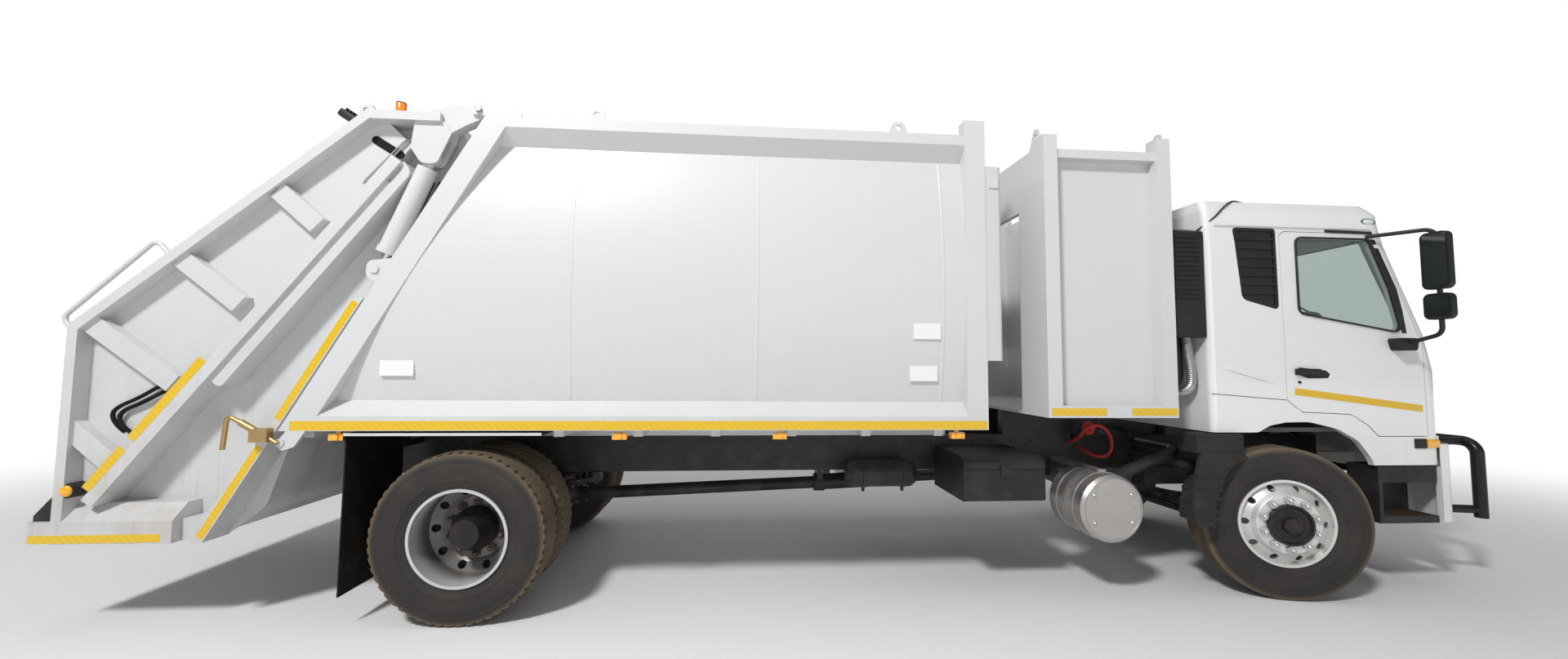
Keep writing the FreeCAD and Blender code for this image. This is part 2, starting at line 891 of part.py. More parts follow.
def windscreen_cutter(gap):
    g = gap
    return slab_x(
        [
            (-windscreen_side - g, windscreen_low - g, 60),
            (windscreen_side + g, windscreen_low - g, 60),
            (windscreen_side - 30 + g, windscreen_high + g, 60),
            (-windscreen_side + 30 - g, windscreen_high + g, 60),
        ],
        6000,
        7300,
    )


def louvre_points(gap):
    g = gap
    return [
        (5266 - g, 2625 + g, 25),
        (5598 + g, 2625 + g, 25),
        (5602 + g, 2025 - g, 30),
        (5316 - g, 2100 - g, 60),
    ]


def make_cab():
    shell = cab_shell()
    reach = 1300.0
    roof_box = box(cab_rear - 100, cab_front + 200, -reach, reach, cab_roof_seam, cab_top + 50)
    back_box = box(cab_rear - 100, cab_rear + 60, -reach, reach, cab_skirt_bottom - 20, cab_roof_seam)
    front_box = box(door_front + 35, cab_front + 200, -reach, reach, cab_skirt_bottom - 20, cab_roof_seam)
    slope = slab_y(
        [
            (door_front + 35, cab_belt - 20),
            (6400 + 38, cab_roof_seam),
            (cab_front + 200, cab_roof_seam),
            (cab_front + 200, cab_belt - 20),
        ],
        -reach,
        reach,
    )
    front_zone = front_box.fuse(slope)
    roof = shell.common(roof_box)
    back = shell.common(back_box)
    rest = shell.cut(roof_box).cut(back_box)
    front = rest.common(front_zone).cut(windscreen_cutter(0))
    side_rest = rest.cut(front_zone)
    side_rest = side_rest.cut(side_slab(door_outline(door_gap)))
    side_rest = side_rest.cut(side_slab(louvre_points(0)))
    for sign in (-1, 1):
        low = door_bottom - door_gap - 3
        foot = vec(door_hinge_x, sign * door_hinge_side, low)
        washer = Part.makeCylinder(door_pin_radius + 0.5, door_bottom - seat_gap - low, foot)
        side_rest = side_rest.fuse(washer)
    doors = {}
    glasses = {}
    for side in sides:
        panel = cab_solid(0).common(side_slab(door_outline(0), side)).cut(cab_solid(cab_wall))
        panel = panel.cut(side_slab(window_outline(0), side))
        sign = sides[side]
        grip = box(5700, 5880, sign * (cab_half_width - 2), sign * (cab_half_width + 22), 1560, 1600)
        pin_hole = Part.makeCylinder(door_pin_radius, 90, vec(door_hinge_x, sign * door_hinge_side, door_bottom - 10))
        doors[side] = panel.fuse(grip).cut(pin_hole)
        pane = cab_solid(glass_inset).cut(cab_solid(glass_inset + glass_thickness))
        glasses[side] = pane.common(side_slab(window_outline(0), side))
    pane = cab_solid(glass_inset).cut(cab_solid(glass_inset + glass_thickness))
    screen = pane.common(windscreen_cutter(0)).common(front_zone.fuse(roof_box))
    return roof, back, front, side_rest, doors, glasses, screen


def cab_floor():
    inner = cab_half_width - cab_wall
    back = cab_rear + cab_wall
    top = cab_bottom + cab_floor_thickness
    tunnel_in = tunnel_half_width - tunnel_wall
    floor = box(back, 6180, -inner, inner, cab_bottom, top)
    floor = floor.fuse(box(6180, cab_front - cab_wall - 5, -inner + 10, inner - 10, cab_bottom, top))
    hole = box(back, 6380, -tunnel_in, tunnel_in, cab_bottom - 1, tunnel_top - tunnel_wall)
    hump = box(back, 6400, -tunnel_half_width, tunnel_half_width, cab_bottom, tunnel_top)
    shape = floor.fuse(hump).cut(hole).common(cab_solid(cab_wall + seat_gap))
    wells = []
    for side in (-1, 1):
        for x in (5240, 6440):
            wells.append(box(x, x + 120, side * (rail_half_spread - 70), side * rail_half_spread, rail_top, cab_bottom))
    return fuse([shape] + wells)


def quarter_louvres():
    frame = slab_y(louvre_points(0), -cab_half_width + 4, -cab_half_width + 24)
    inner = [(5292, 2603, 20), (5576, 2603, 20), (5580, 2050, 20), (5338, 2122, 40)]
    pieces = [frame]
    cutter = slab_y(inner, -cab_half_width + 4, -cab_half_width + 12)
    frame = frame.cut(cutter)
    pieces = [frame]
    room = slab_y(louvre_points(-2), -cab_half_width - 10, -cab_half_width + 20)
    for i in range(7):
        z = 2140 + i * 66.0
        slat = box(5270, 5590, -cab_half_width - 2, -cab_half_width + 13, z, z + 16)
        pieces.append(slat.common(room))
    return both_sides(fuse(pieces))


def seat(side):
    y = side * 690.0
    base = box(5400, 5800, y - 190, y + 190, cab_bottom + cab_floor_thickness, 1430)
    cushion = slab_x([(y - 250, 1430, 20), (y + 250, 1430, 20), (y + 250, 1560, 50), (y - 250, 1560, 50)], 5330, 5860)
    back = slab_y([(5330, 1520), (5460, 1520), (5380, 2170, 50), (5250, 2170, 50)], y - 240, y + 240)
    head = slab_y([(5260, 2170), (5370, 2170), (5350, 2370, 40), (5245, 2370, 40)], y - 130, y + 130)
    return fuse([base, cushion, back, head])


def seats():
    return Part.makeCompound([seat(-1), seat(1)])


wheel_centre = vec(6080, -690, 1930)
wheel_tilt = 32.0


def dashboard():
    inner = cab_half_width - cab_wall - 10
    shelf = slab_y(
        [(6500, 1450, 40), (6834, 1350), (6834, 1640), (6770, 1790, 30), (6560, 1790, 60), (6440, 1700, 60)],
        -inner,
        inner,
    )
    shelf = shelf.common(cab_solid(cab_wall + 1))
    leg = box(6560, 6800, -300, 300, cab_bottom + cab_floor_thickness, 1460)
    tilt = math.radians(wheel_tilt)
    axis = vec(-math.sin(tilt), 0, math.cos(tilt))
    ring = Part.makeTorus(225, 16, wheel_centre, axis)
    hub = Part.makeCylinder(60, 40, wheel_centre - axis * 45, axis)
    column = rod(wheel_centre - axis * 20, wheel_centre - axis * 20 + vec(math.sin(tilt), 0, -math.cos(tilt)) * 60, 40)
    post = rod(wheel_centre - axis * 20, vec(6560, -690, 1650), 38)
    spokes = []
    across = vec(0, 1, 0)
    spokes.append(rod(wheel_centre - across * 222 - axis * 5, wheel_centre + across * 222 - axis * 5, 13))
    return fuse([shelf, leg, ring, hub, column, post] + spokes)


def air_intake():
    x0 = 4770.0
    x1 = cab_rear - 12
    stack = slab_x(
        [(-1110, 2590, 20), (-960, 2640, 20), (-880, 2600, 30), (-880, 2050, 30), (-960, 1820, 40), (-1110, 1820, 20)],
        x0,
        x1,
    )
    pieces = [stack]
    for i in range(14):
        z = 2100 + i * 34.0
        pieces.append(box(x0 + 40, x1 - 40, -1120, -1108, z, z + 14))
    stack = fuse(pieces)
    duct = tube([(4900, -940, 1830), (4900, -940, 1500), (4900, -480, 1300)], 70, 120)
    arm = box(x1, cab_rear, -1050, -980, 2300, 2360)
    return fuse([stack, duct, arm])


# Mirrors on the doors

def mirror():
    mount = slab_y([(6440, 1830, 20), (6590, 1830, 20), (6570, 1740, 20), (6470, 1740, 20)], -cab_half_width - 90, -cab_half_width)
    x = 6545.0
    arm = tube(
        [
            (6520, -cab_half_width - 60, 1790),
            (x - 25, -mirror_reach + 75, 1850),
            (x - 25, -mirror_reach + 75, 2584),
            (6330, -cab_half_width + 8, 2584),
        ],
        14,
        60,
    )
    heads = []
    for low, high, width in ((2160, 2560, 160), (1950, 2132, 160)):
        y0 = -mirror_reach
        y1 = y0 + width
        head = slab_x([(y0, low, 40), (y1, low, 40), (y1, high, 40), (y0, high, 40)], x - 45, x - 5)
        glass = slab_x(
            [(y0 + 12, low + 12, 30), (y1 - 12, low + 12, 30), (y1 - 12, high - 12, 30), (y0 + 12, high - 12, 30)],
            x - 46,
            x - 40,
        )
        heads.append(head.cut(glass))
    return fuse([mount, arm] + heads).cut(cab_solid(0))


# Load body

def body_side_profile():
    out = half_width
    inn = half_width - body_chamfer
    low = body_bottom
    rail_high = low + body_rail_height
    sheet_low = rail_high + body_chamfer
    sheet_high = body_top - 70 - 100
    mid = (sheet_low + sheet_high) / 2.0
    back = half_width - 100
    place = at_yz(0)

    def line(a, b):
        return Part.LineSegment(place(-a[0], a[1]), place(-b[0], b[1])).toShape()

    def arc(a, m, b):
        return Part.Arc(place(-a[0], a[1]), place(-m[0], m[1]), place(-b[0], b[1])).toShape()

    inner_low = (inn - body_wall, sheet_low)
    inner_high = (inn - body_wall, sheet_high)
    corners = [(back, low), (out, low), (out, rail_high), (inn, sheet_low)]
    edges = [line(corners[0], corners[1]), line(corners[1], corners[2]), line(corners[2], corners[3])]
    edges.append(arc((inn, sheet_low), (inn + body_bulge, mid), (inn, sheet_high)))
    edges.append(line((inn, sheet_high), (out, body_top - 70)))
    edges.append(line((out, body_top - 70), (out, body_top)))
    edges.append(line((out, body_top), (back, body_top)))
    edges.append(line((back, body_top), inner_high))
    edges.append(arc(inner_high, (inn - body_wall + body_bulge, mid), inner_low))
    edges.append(line(inner_low, corners[0]))
    return Part.Face(Part.Wire(edges))


def behind_line(shift, low, high, y0, y1):
    """All that lies behind the slanted rear line, moved by shift along X."""
    return slab_y(
        [(rear_line(low) + shift, low), (rear_line(high) + shift, high), (-4000, high), (-4000, low)], y0, y1
    )


lug_places = (750.0, 2770.0)


def lifting_lug(x, y, z):
    lug = slab_y([(x - 70, z), (x - 35, z + 90, 30), (x + 35, z + 90, 30), (x + 70, z)], y - 8, y + 8)
    return lug.cut(rod_y(x, z + 50, y - 10, y + 10, 20))


def body_side():
    panel = body_side_profile().extrude(vec(body_front + 1200, 0, 0)).translated(vec(-1200, 0, 0))
    outer = -half_width
    inner = -half_width + 100
    post = slab_y(
        [
            (rear_line(body_bottom), body_bottom),
            (rear_line(body_top), body_top),
            (rear_line(body_top) + rear_post_width, body_top),
            (rear_line(body_bottom) + rear_post_width, body_bottom),
        ],
        outer,
        inner,
    )
    front_post = box(body_front - front_post_width, body_front, outer, inner, body_bottom, front_post_top)
    shape = fuse([panel, post, front_post])
    shape = shape.cut(behind_line(0, 1000, 3400, -1300, -1000))
    lugs = [lifting_lug(x, outer + 45, body_top) for x in lug_places]
    return fuse([shape] + lugs)


def body_roof():
    inner = half_width - 100
    start = rear_line(body_top) + 150
    edge_low = body_top - 60
    arc_low = Part.Arc(vec(0, -inner, edge_low), vec(0, 0, edge_low + roof_rise), vec(0, inner, edge_low)).toShape()
    arc_high = Part.Arc(
        vec(0, inner, edge_low + 20), vec(0, 0, edge_low + 20 + roof_rise), vec(0, -inner, edge_low + 20)
    ).toShape()
    ends = [
        Part.LineSegment(vec(0, inner, edge_low), vec(0, inner, edge_low + 20)).toShape(),
        Part.LineSegment(vec(0, -inner, edge_low + 20), vec(0, -inner, edge_low)).toShape(),
    ]
    face = Part.Face(Part.Wire([arc_low, ends[0], arc_high, ends[1]]))
    roof = face.extrude(vec(body_front - 40 - start, 0, 0)).translated(vec(start, 0, 0))
    ribs = []
    for i in range(5):
        x = start + 250 + i * 600
        ribs.append(box(x, x + 50, -inner, inner, edge_low + 10, edge_low + 55))
    return fuse([roof] + ribs)


def body_floor():
    inner = half_width - 100
    start = rear_line(body_bottom) + 60
    pieces = [box(start, body_front - 40, -inner, inner, body_bottom, body_floor_top)]
    bearer_inner = rail_half_spread - bearer_width
    for side in (-1, 1):
        pieces.append(
            box(rail_rear, body_front, side * bearer_inner, side * rail_half_spread, rail_top, rail_top + bearer_height)
        )
    low = rail_top + bearer_height
    x = start + 20
    while x < body_front - 100:
        side = mudguard_inner - 10 if mudguard_rear - 60 < x < mudguard_front else inner
        pieces.append(box(x, x + 60, -side, side, low, body_bottom))
        x += floor_bar_pitch
    return fuse(pieces)


def body_front_wall():
    inner = half_width - 100
    rear = body_front - 40
    wall = box(rear, body_front, -inner, inner, body_bottom, body_top)
    ribs = [box(body_front, body_front + 45, y - 35, y + 35, body_bottom + 40, body_top - 60) for y in (-700, -240, 240, 700)]
    cover = slab_z(
        [(body_front, -half_width + 5), (body_front + 120, -half_width + 15, 30), (body_front + 120, -half_width + 160, 30), (body_front, -half_width + 180)],
        1640,
        2970,
    )
    vent = box(body_front + 30, body_front + 90, -half_width + 0, -half_width + 30, 2820, 2900)
    return fuse([wall] + ribs + [cover, vent])


def body_rear_frame():
    inner = half_width - 100
    top = body_top
    header = slab_y(
        [
            (rear_line(top), top),
            (rear_line(top - 130), top - 130),
            (rear_line(top - 130) + 150, top - 130),
            (rear_line(top) + 150, top),
        ],
        -inner,
        inner,
    )
    low = body_bottom
    sill = slab_y(
        [
            (rear_line(body_floor_top), body_floor_top),
            (rear_line(low - 50), low - 50),
            (rear_line(low - 50) + 70, low - 50),
            (rear_line(low) + 60, low),
            (rear_line(low) + 60, body_floor_top),
        ],
        -inner,
        inner,
    )
    pieces = [header, sill]
    sides_y = []
    for offset in (-arm_width / 2.0 - swing_gap - cheek_thickness, arm_width / 2.0 + swing_gap):
        sides_y.append((arm_side + offset, arm_side + offset + cheek_thickness))
    for sign in (-1, 1):
        for y0, y1 in sides_y:
            cheek = slab_y(
                [
                    (lift_pin_x - lift_ear_radius, lift_pin_z - 30, 30),
                    (lift_pin_x - lift_ear_radius, lift_pin_z + lift_ear_radius, 48),
                    (230, lift_pin_z + 35, 60),
                    (290, top),
                    (rear_line(top), top),
                ],
                sign * y0,
                sign * y1,
            )
            pieces.append(cheek)
        pieces.append(rod_y(lift_pin_x, lift_pin_z, sign * sides_y[0][0], sign * sides_y[1][1], lift_pin_radius))
        pieces.append(box(200, 280, sign * sides_y[0][0], sign * sides_y[1][1], top, top + 20))
    frame = fuse(pieces)
    brackets = [foot_bracket(sign) for sign in (-1, 1)]
    clevises = [clamp_clevis(sign) for sign in (-1, 1)]
    return Part.makeCompound([frame] + brackets + clevises)


def foot_bracket(sign):
    """Cheeks on the body's rear post for the lift cylinder's lower pin."""
    half = cylinder_eye_width / 2.0 + swing_gap
    low = cylinder_foot_z - 90
    high = cylinder_foot_z + 70
    y_in = arm_side - half - 15
    y_out = arm_side + half + 15
    back = slab_y(
        [(rear_line(low), low), (rear_line(high), high), (rear_line(high) - 10, high), (rear_line(low) - 10, low)],
        sign * y_in,
        sign * y_out,
    )
    cheeks = []
    for y in (y_in, y_out - 15):
        cheeks.append(
            slab_y(
                [
                    (rear_line(low), low),
                    (cylinder_foot_x - 50, cylinder_foot_z - 50, 45),
                    (cylinder_foot_x - 50, cylinder_foot_z + 50, 45),
                    (rear_line(high), high),
                ],
                sign * y,
                sign * (y + 15),
            )
        )
    pin_heads = []
    pin_heads.append(rod_y(cylinder_foot_x, cylinder_foot_z, sign * y_out, sign * (y_out + 12), 28))
    return fuse([back] + cheeks + pin_heads)


clamp_x = -1118.0
clamp_z = 1160.0
clamp_side = half_width + 22.0
clamp_screw_x = clamp_x + 82.0
clamp_screw_z = clamp_z - 48.0


def clamp_clevis(sign):
    """Lower rear lug on the body that the tailgate's screw clamp pulls against."""
    lug = slab_y(
        [(-1010, body_bottom), (-900, body_bottom), (-960, 1085, 25), (-1035, 1060, 25), (-1060, 1110, 25)],
        sign * (half_width - 20),
        sign * half_width,
    )
    boss = rod_y(clamp_screw_x, clamp_screw_z, sign * half_width, sign * (clamp_side - 12 - seat_gap), 24)
    return lug.fuse(boss)


# Tailgate

def along_guide(distance, across=0.0):
    """Point in X and Z along the packer's slanted guide, and to its front by across."""
    way = vec(guide_foot_x - guide_top_x, guide_foot_z - guide_top_z, 0).normalize()
    normal = vec(-way.y, way.x, 0)
    spot = vec(guide_top_x, guide_top_z, 0) + way * distance + normal * across
    return spot.x, spot.y


def guide_way():
    return vec(guide_foot_x - guide_top_x, 0, guide_foot_z - guide_top_z).normalize()


def guide_length():
    return math.hypot(guide_foot_x - guide_top_x, guide_foot_z - guide_top_z)


def front_line(z):
    return rear_line(z) - seal_gap


pan_points = [
    (tailgate_rear + 15, lip_top, 0),
    (tailgate_rear + 15, 545, 150),
    (-1440, 545, 120),
    (-1235, 700, 160),
    (-1090, 1140, 0),
]


def tailgate_outline():
    """The side sheet's whole outline, with the pan's bulge under the body."""
    return [
        (-210, tailgate_top, 0),
        (shoulder_x, tailgate_top, 60),
        (tailgate_rear, knee_z, 50),
        (tailgate_rear, tailgate_bottom, 0),
        (-1440, tailgate_bottom, 120),
        (-1228, 694, 160),
        (front_line(1130), 1130, 0),
        (front_line(2990), 2990, 0),
    ]



def tailgate_side():
    out = -half_width
    deep = -deep_sheet_side
    inner = deep + sheet
    whole = slab_y(tailgate_outline(), deep, inner)
    f = side_flange
    rim_points = ribbon(
        [
            (-210, tailgate_top, 0),
            (shoulder_x, tailgate_top, 60),
            (tailgate_rear, knee_z, 50),
            (tailgate_rear, tailgate_bottom, 0),
        ],
        f,
    )
    rim = slab_y(rim_points, out, deep)
    sill = slab_x([(out, tailgate_bottom), (out, sill_top), (out + body_chamfer, sill_top + 90), (deep, sill_top + 90), (deep, tailgate_bottom)], tailgate_rear + f, -1600)
    strip = slab_y(
        [
            (front_line(tailgate_bottom), tailgate_bottom, 0),
            (front_line(strip_top), strip_top, 0),
            (front_line(strip_top) - strip_width * 1.15, strip_top, 0),
            (front_line(tailgate_bottom) - strip_width * 1.15, tailgate_bottom, 0),
        ],
        out,
        deep,
    )
    gusset = slab_y([(-1600, tailgate_bottom), (-1600, sill_top), (front_line(sill_top) - 60, sill_top), (front_line(tailgate_bottom) - 60, tailgate_bottom)], out + 60, deep)
    rear_sheet = slab_y(
        [
            along_guide(-120),
            (-560, tailgate_top - f + 1),
            (shoulder_x, tailgate_top - f + 1),
            (tailgate_rear + f - 1, knee_z - 20),
            (tailgate_rear + f - 1, sill_top + 80),
            (guide_foot_x - 100, sill_top + 80),
            along_guide(guide_length()),
        ],
        -rear_sheet_side,
        deep,
    )
    rear_hollow = slab_y(
        [
            along_guide(40, -40),
            (-600, tailgate_top - f - 25),
            (shoulder_x - 10, tailgate_top - f - 25),
            (tailgate_rear + f + 15, knee_z - 30),
            (tailgate_rear + f + 15, sill_top + 110),
            along_guide(guide_length() - 40, -40),
        ],
        -rear_sheet_side + sheet,
        deep,
    )
    rear_sheet = rear_sheet.cut(rear_hollow)
    guide = slab_y(
        [
            along_guide(0, 0),
            along_guide(guide_length(), 0),
            along_guide(guide_length(), guide_width),
            along_guide(0, guide_width),
        ],
        out,
        deep,
    )
    guide_box = slab_y(
        [
            along_guide(-10, guide_width - 1) + (0,),
            along_guide(guide_box_length, guide_width - 1) + (0,),
            along_guide(guide_box_length + 10, guide_box_width) + (30,),
            along_guide(10, guide_box_width) + (60,),
        ],
        out + 25,
        deep,
    )
    slot = slab_y(
        [along_guide(30, 60) + (15,), along_guide(150, 60) + (15,), along_guide(150, 95) + (15,), along_guide(30, 95) + (15,)],
        out - 1,
        out + 45,
    )
    guide_box = guide_box.cut(slot)
    ribs = []
    for (x0, z0, x1, z1) in (
        (-1166, 2660, -925, 2445),
        (-1690, 2220, -1345, 1945),
        (-2200, 1850, -1680, 1460),
        (-2230, 1200, -1960, 965),
    ):
        way = vec(x1 - x0, z1 - z0, 0).normalize()
        n = vec(-way.y, way.x, 0) * (rib_width / 2.0)
        ribs.append(
            slab_y(
                [(x0 + n.x, z0 + n.y), (x1 + n.x, z1 + n.y), (x1 - n.x, z1 - n.y), (x0 - n.x, z0 - n.y)],
                out + 25,
                -rear_sheet_side,
            )
        )
    arm = slab_y(
        [
            (lift_pin_x + lift_ear_radius, lift_pin_z + lift_ear_radius, lift_ear_radius - 8),
            (lift_pin_x + lift_ear_radius, lift_pin_z - 31, lift_ear_radius),
            (lift_pin_x - 90, lift_pin_z - 101, 40),
            (-215, 3030, 0),
            (-330, tailgate_top - f, 0),
            (-330, tailgate_top, 0),
            (-210, tailgate_top + 50, 60),
        ],
        -arm_side - arm_width / 2.0,
        -arm_side + arm_width / 2.0,
    )
    arm = arm.cut(rod_y(lift_pin_x, lift_pin_z, -1300, -1000, lift_pin_radius + run_gap))
    web = slab_y([(-330, tailgate_top - f), (-215, 3030), (-180, 3030), (-180, 3130)], -arm_side - arm_width / 2.0, deep)
    ears = []
    half = cylinder_eye_width / 2.0 + swing_gap
    for y in (-arm_side - half - 15, -arm_side + half):
        ear = slab_y(
            [
                (-395, 2962, 30),
                (cylinder_top_x - 48, cylinder_top_z - 48, 46),
                (cylinder_top_x + 48, cylinder_top_z - 48, 46),
                (-150, 3060, 0),
                (-200, 3140, 0),
                (-375, 3140, 0),
            ],
            y,
            y + 15,
        )
        ears.append(ear)
    pin = rod_y(cylinder_top_x, cylinder_top_z, -arm_side - half - 15, -arm_side + half + 15, eye_pin_radius)
    tracks = []
    gap = shoe_width / 2.0 + run_gap
    for low, high in ((-gap - track_bar_thickness, -gap), (gap, gap + track_bar_thickness)):
        centre = guide_width / 2.0
        tracks.append(
            slab_y(
                [
                    along_guide(20, centre + low),
                    along_guide(guide_length() - 120, centre + low),
                    along_guide(guide_length() - 120, centre + high),
                    along_guide(20, centre + high),
                ],
                inner,
                inner + track_bar_height,
            )
        )
    lug = slab_y([(-765, 3050), (-738, 3235, 25), (-665, 3255, 25), (-625, 3170)], -1158, -1142)
    lug = lug.cut(rod_y(-700, 3210, -1170, -1130, 18))
    pieces = [lug, whole, rim, sill, strip, gusset, rear_sheet, guide, guide_box, arm, web, pin] + ribs + ears + tracks
    rail = tube(
        [
            (tailgate_rear + 20, out + 30, 1740),
            (tailgate_rear - 60, out + 30, 1850),
            (-1830, out + 30, 2330),
            (-1745, out + 30, 2230),
        ],
        13,
        40,
    )
    return fuse(pieces + [rail])


def tailgate_hood():
    inner = deep_sheet_side - sheet
    points = ribbon(
        [
            (-150, tailgate_top - 160, 0),
            (-150, tailgate_top - 12, 30),
            (shoulder_x - 8, tailgate_top - 12, 60),
            (tailgate_rear + 12, knee_z - 6, 50),
            (tailgate_rear + 12, knee_z - 150, 0),
        ],
        sheet,
    )
    hood = slab_y(points, -inner, inner)
    beam = box(-330, -160, -inner, inner, tailgate_top - 150, tailgate_top - 22)
    low_beam = box(tailgate_rear + 22, tailgate_rear + 90, -inner, inner, knee_z - 150, knee_z - 60)
    return fuse([hood, beam, low_beam])


def hopper_pan():
    inner = deep_sheet_side - sheet
    points = ribbon(pan_points, -pan_wall)
    pan = slab_y(ribbon(pan_points, pan_wall), -inner, inner)
    lip = box(tailgate_rear + 2, tailgate_rear + 15, -inner, inner, lip_top - 120, lip_top)
    low = tailgate_bottom + 10
    bar = box(rear_end, tailgate_rear, -half_width, half_width, low, low + step_bar_height)
    joint = box(tailgate_rear, tailgate_rear + 28, -inner, inner, low + 100, low + step_bar_height)
    return fuse([pan, lip, bar, joint])


def tailgate_clamps():
    start = vec(clamp_x, -clamp_side, clamp_z)
    way = vec(-0.86, 0, 0.5).normalize()
    block = box(start.x - 60, start.x + 40, -half_width - 50, -half_width, start.z - 40, start.z + 40)
    sleeve = rod(start, start + way * 150, 20)
    screw = rod(start, start - way * 95, 12)
    end = start + way * 150
    handle = tube(
        [(end.x, end.y, end.z), (end.x - 75, end.y, end.z + 40), (end.x - 85, end.y - 5, end.z - 160)], 13, 22
    )
    return both_sides(fuse([block, sleeve, screw, handle]))


def tail_lamps():
    pieces = []
    bar_top = tailgate_bottom + 10 + step_bar_height
    for sign in (-1, 1):
        case = slab_y(
            [
                (rear_end + 12, bar_top),
                (tailgate_rear, bar_top),
                (tailgate_rear, bar_top + 172),
                (rear_end + 12, bar_top + 32),
            ],
            sign * 900,
            sign * 1200,
        )
        slope = vec(tailgate_rear - rear_end - 12, 0, 140).normalize()
        normal = vec(-slope.z, 0, slope.x)
        middle = vec((rear_end + 12 + tailgate_rear) / 2.0, 0, bar_top + 102)
        lenses = []
        for y in (950, 1050, 1150):
            spot = middle + vec(0, sign * y, 0)
            lenses.append(rod(spot - normal * 5, spot + normal * 7, 42))
        pieces.append(fuse([case] + lenses))
        x = shoulder_x + 135
        foot = box(x - 35, x + 35, sign * 1065, sign * 1135, tailgate_top, tailgate_top + 20)
        dome = rod(vec(x, sign * 1100, tailgate_top + 20), vec(x, sign * 1100, tailgate_top + 104), 30)
        pieces.append(fuse([foot, dome]))
    return Part.makeCompound(pieces)


def packer_carriage():
    inner = deep_sheet_side - sheet - 15
    centre = guide_width / 2.0
    half = carriage_thickness / 2.0
    start = carriage_start
    end = carriage_start + carriage_length
    panel = slab_y(
        [
            along_guide(start, centre - half),
            along_guide(end, centre - half),
            along_guide(end, centre + half),
            along_guide(start, centre + half),
        ],
        -inner + track_bar_height,
        inner - track_bar_height,
    )
    hollow = slab_y(
        [
            along_guide(start + 60, centre - half - 1),
            along_guide(end - 60, centre - half - 1),
            along_guide(end - 60, centre + half - carriage_skin),
            along_guide(start + 60, centre + half - carriage_skin),
        ],
        -inner + track_bar_height + 60,
        inner - track_bar_height - 60,
    )
    panel = panel.cut(hollow)
    ribs = []
    for y in (-500, 0, 500):
        ribs.append(
            slab_y(
                [
                    along_guide(start + 60, centre - half),
                    along_guide(end - 60, centre - half),
                    along_guide(end - 60, centre + half - carriage_skin),
                    along_guide(start + 60, centre + half - carriage_skin),
                ],
                y - 12,
                y + 12,
            )
        )
    shoes = []
    for sign in (-1, 1):
        for low in (start + 20, end - 220):
            shoes.append(
                slab_y(
                    [
                        along_guide(low, centre - shoe_width / 2.0),
                        along_guide(low + 180, centre - shoe_width / 2.0),
                        along_guide(low + 180, centre + shoe_width / 2.0),
                        along_guide(low, centre + shoe_width / 2.0),
                    ],
                    sign * (inner - track_bar_height),
                    sign * (deep_sheet_side - sheet - seat_gap),
                )
            )
    pin_x, pin_z = along_guide(end + 75, centre)
    lugs = []
    for y in (-930, -330, 330, 930):
        lug = slab_y(
            [
                along_guide(end - 10, centre - half),
                along_guide(end + 75, centre - half) + (0,),
                along_guide(end + 125, centre - half) + (40,),
                along_guide(end + 125, centre + half) + (40,),
                along_guide(end - 10, centre + half),
            ],
            y - 20,
            y + 20,
        )
        lugs.append(lug)
    pin = rod_y(pin_x, pin_z, -950, 950, blade_pin_radius)
    return fuse([panel] + ribs + shoes + lugs + [pin])


def blade_hinge():
    return along_guide(carriage_start + carriage_length + 75, guide_width / 2.0)


def packer_blade():
    pin_x, pin_z = blade_hinge()
    tilt = math.radians(blade_rest_tilt)
    down = vec(math.sin(tilt), -math.cos(tilt), 0)
    side = vec(down.y, -down.x, 0)

    def spot(distance, across):
        p = vec(pin_x, pin_z, 0) + down * distance + side * across
        return p.x, p.y

    half = blade_thickness / 2.0
    inner = deep_sheet_side - sheet - track_bar_height - swing_gap
    panel = slab_y(
        [
            spot(75, -half),
            spot(blade_length * 0.8, -half) + (300,),
            spot(blade_length, half - 20),
            spot(blade_length - 10, half),
            spot(blade_length * 0.8, half - 10) + (300,),
            spot(75, half),
        ],
        -inner,
        inner,
    )
    pieces = [panel]
    bore = rod_y(pin_x, pin_z, -1000, 1000, blade_pin_radius + run_gap)
    for y0, y1 in ((-905, -355), (-305, 305), (355, 905)):
        pieces.append(rod_y(pin_x, pin_z, y0, y1, blade_barrel_radius))
        pieces.append(slab_y([spot(20, -half), spot(80, -half), spot(80, half), spot(20, half)], y0, y1))
    return fuse(pieces).cut(bore)


# Lift cylinders

def cylinder_way():
    return vec(cylinder_foot_x - cylinder_top_x, 0, cylinder_foot_z - cylinder_top_z)


def lift_cylinders():
    way = cylinder_way().normalize()
    length = cylinder_way().Length
    top = vec(cylinder_top_x, -arm_side, cylinder_top_z)
    eye = rod_y(cylinder_top_x, cylinder_top_z, -arm_side - cylinder_eye_width / 2, -arm_side + cylinder_eye_width / 2, cylinder_eye_radius)
    neck = rod(top, top + way * 98, 26)
    barrel = rod(top + way * 76, top + way * (length - 120), cylinder_radius)
    gland = rod(top + way * (length - 150), top + way * (length - 112), cylinder_radius + 6)
    hollow = rod(top + way * 120, top + way * length, rod_radius + run_gap)
    bore = rod_y(cylinder_top_x, cylinder_top_z, -1300, -1000, eye_pin_radius + run_gap)
    shape = fuse([eye, neck, barrel, gland]).cut(hollow).cut(bore)
    return both_sides(shape)


